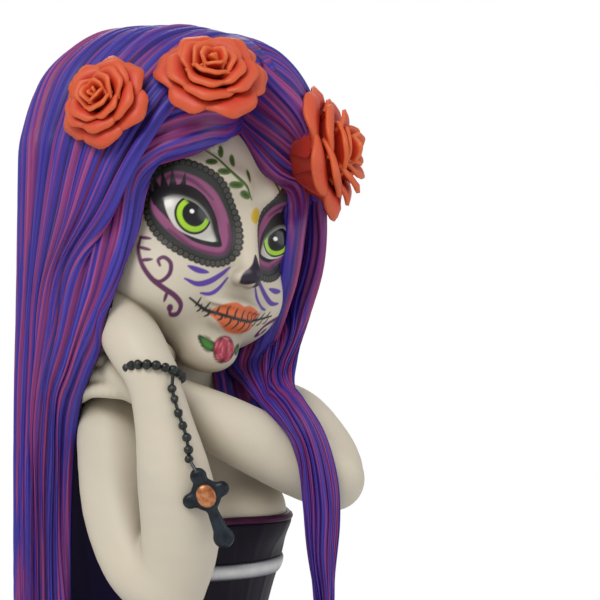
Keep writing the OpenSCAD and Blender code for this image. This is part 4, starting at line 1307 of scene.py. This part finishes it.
# Rows [out, back, up, half width] of one loop and one tail of the bow, from its knot
BOW_LOOP = [[0.3, 0.2, 0, 1.6], [4.5, 2.4, 1.4, 2.9], [9.5, 2.8, 1.5, 3.5], [12.6, 1.4, 0.8, 3.5],
            [10.5, -0.2, 0.3, 3.2], [5, -0.1, 0, 2.6], [0.4, -0.2, -0.2, 1.6]]
BOW_TAIL = [[0.8, 0.4, -0.6, 1.2], [3.2, 3.2, -7, 2.2], [5.4, 7, -15, 2.8], [7.4, 11.4, -23.5, 3.3]]


def build_bow(ribbon):
    """A knot, two loops and two tails at the back of the sash."""
    low, high = box_mm("back_bow")
    knot = np.array([0, low[1] + 2.3, high[2] - 4.0])
    tubes, folds = [], []
    for side in (-1, 1):
        for path, across in ((BOW_LOOP, (0, 0.1, 1)), (BOW_TAIL, (1, 0, 0))):
            ring, fold = ribbon_points([[side * row[0], *row[1:]] for row in path], across, 0.7)
            tubes.append(ring)
            folds.append(fold.ravel())
    turn, rise = np.meshgrid(np.linspace(0, TAU, 24, endpoint=False), np.linspace(-1.35, 1.35, 11))
    size = 1 + 0.1 * np.cos(5 * turn)
    tubes.append(np.stack([2.5 * size * np.cos(rise) * np.cos(turn), 2.1 * size * np.cos(rise) * np.sin(turn),
                           2.7 * np.sin(rise)], axis=-1))
    # The knot is lighter on its lobes and darker between them: painted shade and sheen.
    folds.append(0.5 + 0.5 * np.cos(5 * turn).ravel())
    points, faces = joined_tubes(tubes)
    piece = make_mesh("back_bow_ribbon", points + knot, faces, {"fold": np.concatenate(folds)})
    place_piece(piece, ribbon, "sash_ribbon", "back_bow")


# Tiers of the skirt as in the CAD: gathered top and hem, as heights above the base and radii
TIERS = {"lower": (36, 39.4, 1.2, 55), "middle": (60, 29.2, 32, 47), "upper": (82, 18.1, 57, 36.5)}
FOLD_DEPTH = 1.6
CLOTH = 1.3
HEM_MARGIN = 0.5  # cloth below the lace
LACE_HEIGHT = 3.0
SCALLOP_HEIGHT = 1.5


def tier_radius(tier, t, turn):
    """The radius of a tier from its gathered top, t = 0, to its hem, t = 1."""
    _, top_r, _, hem_r = tier
    flare = top_r + (hem_r - top_r) * ((1 - np.cos(np.pi / 2 * t)) * 0.55 + 0.45 * t)
    deep = FOLD_DEPTH * t * np.cos(FOLDS * turn + 0.35 * np.sin(3 * turn) * t)
    small = 0.3 * (1 - t) ** 0.7 * np.sin(FOLDS * 5 * turn + 1.5 * np.sin(5 * turn))
    soft = 0.35 * np.sin(np.pi * t) * np.sin(FOLDS * 2 * turn + 2 * np.sin(2 * turn))
    return flare + deep + small + soft


def tier_wall(tier, turn, t, out):
    top_z, _, hem_z, _ = tier
    radius = tier_radius(tier, t, turn) + out
    z = BASE_TOP + top_z + (hem_z - top_z) * t
    return np.stack([radius * np.cos(turn), radius * np.sin(turn), z], axis=-1) - up(0, 0, 0)


def build_flounce(name, satin):
    tier = TIERS[name]
    angles = np.linspace(0, TAU, FOLDS * 30, endpoint=False)
    turn, t = np.meshgrid(angles, np.linspace(1, 0, 34))
    roll = 0.45 * np.exp(-((1 - t) / 0.03) ** 2)
    outer = tier_wall(tier, turn, t, CLOTH + roll)
    inner = tier_wall(tier, turn, t, 0)
    # Lighter on the crests of the folds and darker in their hollows: painted shade and sheen.
    painted_fold_shade = 0.5 + 0.5 * np.cos(FOLDS * turn) * t + 0.3 * (1 - t) * np.sin(FOLDS * 5 * turn)
    closed_band(name + "_flounce_cloth", outer, inner, np.clip(painted_fold_shade, 0, 1), satin, "dark_satin",
                name + "_flounce")


def build_trim(name, silver):
    """A band of lace along the hem: scallops along its top edge, cords and a row of raised dots."""
    tier = TIERS[name]
    scallops = FOLDS * (5 if name != "upper" else 4)
    angles = np.linspace(0, TAU, scallops * 10, endpoint=False)
    turn, s = np.meshgrid(angles, np.linspace(0, 1, 15))
    top_z, _, hem_z, _ = tier
    foot = 1 - HEM_MARGIN / (top_z - hem_z)
    tall = (LACE_HEIGHT + SCALLOP_HEIGHT * np.abs(np.sin(scallops / 2 * turn))) / (top_z - hem_z)
    t = foot - s * tall
    dots = np.exp(-((np.mod(scallops / TAU * turn, 1) - 0.5) ** 2 / 0.03 + (s - 0.42) ** 2 / 0.012))
    cords = np.exp(-((s - 0.1) / 0.06) ** 2) + np.exp(-((s - 0.72) / 0.05) ** 2) \
        + 0.9 * np.exp(-((s - 0.94) / 0.05) ** 2)
    height = 0.45 + 0.4 * np.clip(cords, 0, 1) + 0.45 * dots
    outer = tier_wall(tier, turn, t, CLOTH + 0.1 + height)
    inner = tier_wall(tier, turn, t, CLOTH - 0.15)
    closed_band(name + "_hem_lace", outer, inner, np.clip(cords + dots, 0, 1), silver, "silver_trim",
                name + "_trim")


# ---- Beads and cross ----

def loose_middles(node):
    """The middles of the separate solids of one node, in millimetres."""
    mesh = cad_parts[node].data
    points = np.array([v.co for v in mesh.vertices]) / MM
    links = np.array([e.vertices[:] for e in mesh.edges])
    group = np.arange(len(points))
    while True:
        low = np.minimum(group[links[:, 0]], group[links[:, 1]])
        merged = group.copy()
        np.minimum.at(merged, links[:, 0], low)
        np.minimum.at(merged, links[:, 1], low)
        if (merged == group).all():
            break
        group = merged
    return np.array([(points[group == g].min(axis=0) + points[group == g].max(axis=0)) / 2
                     for g in np.unique(group)])


def bead_points(middle, size, seed):
    """A lumpy, roughly cut bead."""
    rng = np.random.default_rng(seed)
    turn, rise = np.meshgrid(np.linspace(0, TAU, 18, endpoint=False), np.radians(np.linspace(-80, 80, 11)))
    rays = np.stack([np.cos(rise) * np.cos(turn), np.cos(rise) * np.sin(turn), np.sin(rise)], axis=-1)
    cuts = unit_rows(rng.normal(size=(9, 3)))
    flat = np.min(0.93 / np.maximum(rays @ cuts.T, 0.3), axis=-1)
    radius = size * np.minimum(flat, 1.05) * rng.uniform(0.92, 1.08)
    return rays * radius[..., None] + middle


CROSS_AXES = turn_z(-28) @ turn_y(-22) @ turn_x(6)


def strung(node):
    """The middles of the beads in the order of their thread. The one round the wrist closes on itself."""
    middles = loose_middles(node)
    if node == "drop_beads":
        ordered = middles[np.argsort(-middles[:, 2])]
        wrist = loose_middles("wrist_beads")
        knot = wrist[np.argmin(np.linalg.norm(wrist - ordered[0], axis=1))]
        ring = middle_mm("cross_stone") + CROSS_AXES @ [0, 0.6, 4.8]
        return np.vstack([[knot], ordered, [ring]])
    out = middles - middles.mean(axis=0)
    ordered = middles[np.argsort(np.arctan2(out[:, 1], out[:, 0]))]
    return np.vstack([ordered, ordered[:1]])


def thread_between(start, end, radius=0.32, sides=8):
    """A tube of two rings: the moulded thread between two beads."""
    along = (end - start) / np.linalg.norm(end - start)
    across = np.cross(along, [0.3, 0.5, 0.8])
    across = across / np.linalg.norm(across)
    other = np.cross(along, across)
    ring = [radius * (across * math.cos(TAU * k / sides) + other * math.sin(TAU * k / sides))
            for k in range(sides)]
    return np.array([[start + r for r in ring], [end + r for r in ring]])


def build_beads(node, material, size):
    thread = strung(node)
    tubes = [bead_points(middle, size, 60 + i) for i, middle in enumerate(loose_middles(node))]
    tubes += [thread_between(start, end) for start, end in zip(thread[:-1], thread[1:])]
    points, faces = joined_tubes(tubes)
    place_piece(make_mesh(node + "_cut", points, faces, smooth=False), material, "beads", node)


def cross_shape(points):
    """A flared cross with bulbs at its ends and a raised seat for the stone."""
    flat = points * [1, 1.15, 1]
    total = ball(flat, (0, 0, 0), (2.7, 1.5, 3.0))
    for direction, length, wide in (((0, 0, 1), 5.2, 1.5), ((0, 0, -1), 10.4, 1.9), ((1, 0, 0), 4.4, 1.4),
                                    ((-1, 0, 0), 4.4, 1.4)):
        way = np.array(direction, float)
        arm = rod(flat, way * 1.2, way * (length - wide), 0.8, wide * 0.78)
        bulb = ball(flat, way * (length - wide), (wide, 1.15, wide))
        total = melt(total, melt(arm, bulb, 0.5), 0.7)
    slab = np.abs(points[..., 1]) - 1.0
    return -melt(-total, -slab, 0.35)


def build_cross(metal, stone_material):
    middle = middle_mm("cross_stone")
    step = 0.17
    low, high = np.array([-6.0, -2.4, -12.0]), np.array([6.0, 2.4, 6.8])
    axes = [np.arange(low[c], high[c], step) for c in range(3)]
    field = cross_shape(np.stack(np.meshgrid(*axes, indexing="ij"), axis=-1))
    points, faces = surface_of(field, low, step)
    placed = relax(points, faces) @ CROSS_AXES.T + middle + CROSS_AXES @ [0, 1.1, 0]
    place_piece(make_mesh("cross_cast", placed, faces), metal, "beads", "cross_pendant")
    turn, rise = np.meshgrid(np.linspace(0, TAU, 40, endpoint=False), np.radians(np.linspace(-60, 88, 18)))
    dome = np.stack([1.75 * np.cos(rise) * np.cos(turn), -0.75 * np.sin(rise) - 0.75,
                     2.15 * np.cos(rise) * np.sin(turn)], axis=-1)
    points, faces = joined_tubes([dome])
    piece = make_mesh("cross_cabochon", points @ CROSS_AXES.T + middle + CROSS_AXES @ [0, 0.7, 0], faces)
    place_piece(piece, stone_material, "stone", "cross_stone")


# ---- Materials ----

# The colour sockets of a mix node
MIX_FIRST, MIX_SECOND, MIX_RESULT = 6, 7, 2


def linear(color):
    """A colour given as a hex code or as linear values, as linear values."""
    return srgb(color) if isinstance(color, str) else color


class Graph:
    """The nodes of a material or world, with short ways to add what the looks need."""

    def __init__(self, owner):
        owner.use_nodes = True
        self.nodes = owner.node_tree.nodes
        self.links = owner.node_tree.links

    def join(self, output, socket):
        self.links.new(output, socket)

    def place(self):
        """The object's own metres, so that a grain stays the same size on every piece."""
        return self.nodes.new("ShaderNodeTexCoord").outputs["Object"]

    def noise(self, scale, detail=4.0):
        node = self.nodes.new("ShaderNodeTexNoise")
        node.inputs["Scale"].default_value = scale
        node.inputs["Detail"].default_value = detail
        self.join(self.place(), node.inputs["Vector"])
        return node.outputs["Fac"]

    def attribute(self, name, output="Fac"):
        node = self.nodes.new("ShaderNodeAttribute")
        node.attribute_name = name
        return node.outputs[output]

    def ramp(self, factor, stops):
        """A colour ramp over a factor: stops of (position, colour)."""
        node = self.nodes.new("ShaderNodeValToRGB")
        elements = node.color_ramp.elements
        while len(elements) < len(stops):
            elements.new(0.5)
        for element, (position, color) in zip(elements, stops):
            element.position = position
            element.color = (*linear(color), 1)
        self.join(factor, node.inputs["Fac"])
        return node.outputs["Color"]

    def mix(self, factor, first, second, blend="MIX"):
        """The colour of a first socket mixed with a second socket or a plain colour."""
        node = self.nodes.new("ShaderNodeMix")
        node.data_type = "RGBA"
        node.blend_type = blend
        self.join(factor, node.inputs["Factor"])
        self.join(first, node.inputs[MIX_FIRST])
        if isinstance(second, bpy.types.NodeSocket):
            self.join(second, node.inputs[MIX_SECOND])
        else:
            node.inputs[MIX_SECOND].default_value = (*linear(second), 1)
        return node.outputs[MIX_RESULT]

    def scaled(self, value, low, high):
        """A 0 to 1 value stretched to run from low to high."""
        node = self.nodes.new("ShaderNodeMapRange")
        node.inputs["To Min"].default_value = low
        node.inputs["To Max"].default_value = high
        self.join(value, node.inputs["Value"])
        return node.outputs["Result"]

    def bump(self, shader, height, strength, distance=0.0002):
        node = self.nodes.new("ShaderNodeBump")
        node.inputs["Strength"].default_value = strength
        node.inputs["Distance"].default_value = distance
        self.join(height, node.inputs["Height"])
        self.join(node.outputs["Normal"], shader.inputs["Normal"])


def new_material(name):
    material = bpy.data.materials.new(name)
    graph = Graph(material)
    return material, graph, graph.nodes["Principled BSDF"]


def painted_skin():
    """Ivory paint over smooth resin, with the strokes and the painted shade of the creases laid on as point
    colours.
    """
    material, graph, shader = new_material("painted_skin")
    fine = graph.noise(900)
    cloud = graph.noise(60)
    paint = graph.attribute("paint", "Color")
    tinted = graph.mix(graph.scaled(cloud, 0.0, 0.14), paint, (0.75, 0.68, 0.55), "MULTIPLY")
    graph.join(tinted, shader.inputs["Base Color"])
    gloss = graph.attribute("gloss")
    graph.join(graph.scaled(gloss, 0.52, 0.12), shader.inputs["Roughness"])
    shader.inputs["Subsurface Weight"].default_value = 0.06
    shader.inputs["Subsurface Scale"].default_value = 0.002
    shader.inputs["Subsurface Radius"].default_value = (1.0, 0.6, 0.4)
    graph.bump(shader, fine, 0.06)
    return material


def combed_hair():
    """Deep blue hair with magenta strands, lighter along the ridges like dry-brushed paint, and near black in
    the grooves: painted shade.
    """
    material, graph, shader = new_material("combed_hair")
    ridge = graph.attribute("ridge")
    streak = graph.attribute("streak")
    tone = graph.attribute("tone")
    blue = graph.ramp(ridge, [(0.12, "#0C0834"), (0.45, "#1E1872"), (0.75, "#312A98"), (1.0, "#4F48B4")])
    magenta = graph.ramp(ridge, [(0.12, "#2A0C34"), (0.45, "#6E1E54"), (0.75, "#97346C"), (1.0, "#B25A8C")])
    color = graph.mix(streak, blue, magenta)
    worn = graph.mix(graph.scaled(tone, 0.0, 0.25), color, "#3A2280")
    cloud = graph.noise(45)
    color = graph.mix(graph.scaled(cloud, 0.0, 0.18), worn, "#5A2C86")
    graph.join(color, shader.inputs["Base Color"])
    shader.inputs["Roughness"].default_value = 0.48
    shader.inputs["Specular IOR Level"].default_value = 0.4
    graph.bump(shader, graph.noise(700), 0.08)
    return material


def rose_paint():
    """Orange petals with paler rims, dark red towards the foot of each petal deep in the rose: painted shade.
    """
    material, graph, shader = new_material("rose_paint")
    rim = graph.attribute("rim")
    layer = graph.attribute("layer")
    petals = graph.ramp(rim, [(0.3, "#5A0806"), (0.62, "#A41C0E"), (0.82, "#CE3A1C"), (1.0, "#EA7E3C")])
    outer = graph.mix(graph.scaled(layer, 0.0, 0.5), petals, "#D04634")
    cloud = graph.noise(220)
    color = graph.mix(graph.scaled(cloud, 0.0, 0.5), outer, "#C42E16")
    graph.join(color, shader.inputs["Base Color"])
    shader.inputs["Roughness"].default_value = 0.5
    shader.inputs["Subsurface Weight"].default_value = 0.08
    shader.inputs["Subsurface Scale"].default_value = 0.001
    graph.bump(shader, graph.noise(1100), 0.08)
    return material


def satin(name, dark, light, sheen_roughness):
    """Painted satin, darker in its folds, with a faint weave: the fold value paints shade in the hollows and
    sheen on the crests.
    """
    material, graph, shader = new_material(name)
    fold = graph.attribute("fold")
    base = graph.ramp(fold, [(0.1, dark), (0.95, light)])
    cloud = graph.noise(90)
    color = graph.mix(graph.scaled(cloud, 0.0, 0.5), base, dark)
    graph.join(color, shader.inputs["Base Color"])
    shader.inputs["Roughness"].default_value = sheen_roughness
    shader.inputs["Specular IOR Level"].default_value = 0.18
    graph.bump(shader, graph.noise(1500), 0.1)
    return material


def silver_paint():
    """Brushed silver paint, darker where it is low and paler on its raised parts."""
    material, graph, shader = new_material("silver_paint")
    fold = graph.attribute("fold")
    base = graph.ramp(fold, [(0.05, "#3A3A42"), (0.6, "#A8A8AC"), (1.0, "#D6D6D4")])
    cloud = graph.noise(400)
    color = graph.mix(graph.scaled(cloud, 0.0, 0.4), base, "#8E8E94")
    graph.join(color, shader.inputs["Base Color"])
    shader.inputs["Metallic"].default_value = 0.6
    graph.join(graph.scaled(cloud, 0.3, 0.55), shader.inputs["Roughness"])
    graph.bump(shader, graph.noise(1800), 0.12)
    return material


def mottled(name, colors, scale, roughness, metallic=0.0, grain=0.15):
    """A plain material whose colour wanders between two tones, with a fine grain."""
    material, graph, shader = new_material(name)
    cloud = graph.noise(scale, 6)
    graph.join(graph.ramp(cloud, [(0.35, colors[0]), (0.65, colors[1])]), shader.inputs["Base Color"])
    low, high = roughness
    graph.join(graph.scaled(cloud, low, high), shader.inputs["Roughness"])
    shader.inputs["Metallic"].default_value = metallic
    graph.bump(shader, graph.noise(scale * 6), grain, 0.0003)
    return material


def turned_wood():
    material, graph, shader = new_material("turned_wood")
    grain = graph.nodes.new("ShaderNodeTexWave")
    grain.bands_direction = "X"
    grain.inputs["Scale"].default_value = 220
    grain.inputs["Distortion"].default_value = 5
    grain.inputs["Detail"].default_value = 3
    graph.join(graph.place(), grain.inputs["Vector"])
    rings = grain.outputs["Fac"]
    graph.join(graph.ramp(rings, [(0.2, "#A87C4C"), (0.8, "#D2AA74")]), shader.inputs["Base Color"])
    shader.inputs["Roughness"].default_value = 0.6
    graph.bump(shader, rings, 0.1)
    return material


# ---- Light and floor ----

def add_area_light(name, place, target, size, power, color=(1, 1, 1)):
    light = bpy.data.lights.new(name, "AREA")
    light.shape = "DISK"
    light.size = size
    light.energy = power
    light.color = color
    item = bpy.data.objects.new(name, light)
    item.location = place
    item.rotation_euler = (Vector(target) - Vector(place)).to_track_quat("-Z", "Y").to_euler()
    bpy.context.scene.collection.objects.link(item)


AIM = (0, 0, 0.16)  # where the lamps point, in metres
FLOOR_RADIUS = 0.55
FLOOR_DROP = 0.0002


def light_figure():
    """White behind the figure, softer white light round it, and three soft lamps."""
    bpy.context.scene.view_settings.view_transform = "Standard"
    world = bpy.data.worlds.new("studio_air")
    graph = Graph(world)
    seen_directly = graph.nodes.new("ShaderNodeLightPath").outputs["Is Camera Ray"]
    background = graph.nodes["Background"].inputs
    background["Color"].default_value = (1.0, 1.0, 1.0, 1)
    graph.join(graph.scaled(seen_directly, 0.58, 1.0), background["Strength"])
    bpy.context.scene.world = world
    add_area_light("key", (-0.45, -0.35, 0.62), AIM, 0.35, 2.5, (1, 0.985, 0.96))
    add_area_light("fill", (0.6, -0.5, 0.3), AIM, 0.5, 0.8, (0.95, 0.97, 1))
    add_area_light("rim", (0.25, 0.6, 0.5), AIM, 0.35, 1.2)


def build_floor():
    mesh = bpy.data.meshes.new("studio_floor")
    turns = TAU * np.arange(96) / 96
    rim = [(FLOOR_RADIUS * math.cos(turn), FLOOR_RADIUS * math.sin(turn), 0) for turn in turns]
    mesh.from_pydata(rim, [], [tuple(range(len(rim)))])
    mesh.update()
    material, graph, shader = new_material("pale_floor")
    tones = [(0.3, (0.84, 0.84, 0.84)), (0.7, (0.88, 0.88, 0.88))]
    graph.join(graph.ramp(graph.noise(3), tones), shader.inputs["Base Color"])
    shader.inputs["Roughness"].default_value = 0.7
    mesh.materials.append(material)
    floor = bpy.data.objects.new("studio_floor", mesh)
    floor.location.z = -FLOOR_DROP
    bpy.context.scene.collection.objects.link(floor)


# ---- The figure ----

STEEL_NODES = ("base_screw", "base_washer", "shoulder_pins", "elbow_pins", "wrist_pins", "rose_pins")


def paint_carried_parts():
    """Gives the CAD pieces that are shown as they are their materials."""
    wood = turned_wood()
    steel = mottled("bright_steel", ("#8A8A8E", "#B4B4B8"), 800, (0.25, 0.4), 1.0, 0.05)
    carried = {
        "felt_pad": mottled("felt", ("#101010", "#1E1E20"), 1500, (0.9, 0.98), grain=0.6),
        "base": mottled("base_lacquer", ("#160A1E", "#2A1838"), 60, (0.3, 0.45)),
        "skirt_shell": mottled("skirt_core_paint", ("#120A1C", "#1E122C"), 200, (0.5, 0.65)),
        "armature_post": wood,
        "neck_dowel": wood,
        **dict.fromkeys(STEEL_NODES, steel),
    }
    for node, material in carried.items():
        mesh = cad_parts[node].data
        mesh.materials.clear()
        mesh.materials.append(material)


def build_clothes():
    dark_satin = satin("dark_satin", "#07030E", "#200D32", 0.45)
    silver = silver_paint()
    build_corset(dark_satin)
    build_piping(satin("wine_satin", "#1E0818", "#4E1A42", 0.35))
    build_silver_band(silver)
    ribbon = satin("purple_ribbon", "#1E1238", "#553A82", 0.36)
    build_sash(ribbon)
    build_bow(ribbon)
    for name in TIERS:
        build_flounce(name, dark_satin)
        build_trim(name, silver)


def build_jewellery():
    jet = mottled("jet_beads", ("#050807", "#18241E"), 900, (0.25, 0.45))
    build_beads("wrist_beads", jet, 0.85)
    build_beads("drop_beads", jet, 0.8)
    metal = mottled("dark_metal", ("#0C1216", "#26313A"), 500, (0.3, 0.5), 0.5)
    stone = mottled("copper_stone", ("#8E4E28", "#D08A58"), 700, (0.2, 0.35), 0.3)
    build_cross(metal, stone)


skin = painted_skin()
build_body(skin)
build_head(skin)
build_hair(combed_hair())
petal_paint = rose_paint()
for rose_node in ROSES:
    build_rose(rose_node, petal_paint)
build_clothes()
build_jewellery()
paint_carried_parts()
light_figure()
build_floor()
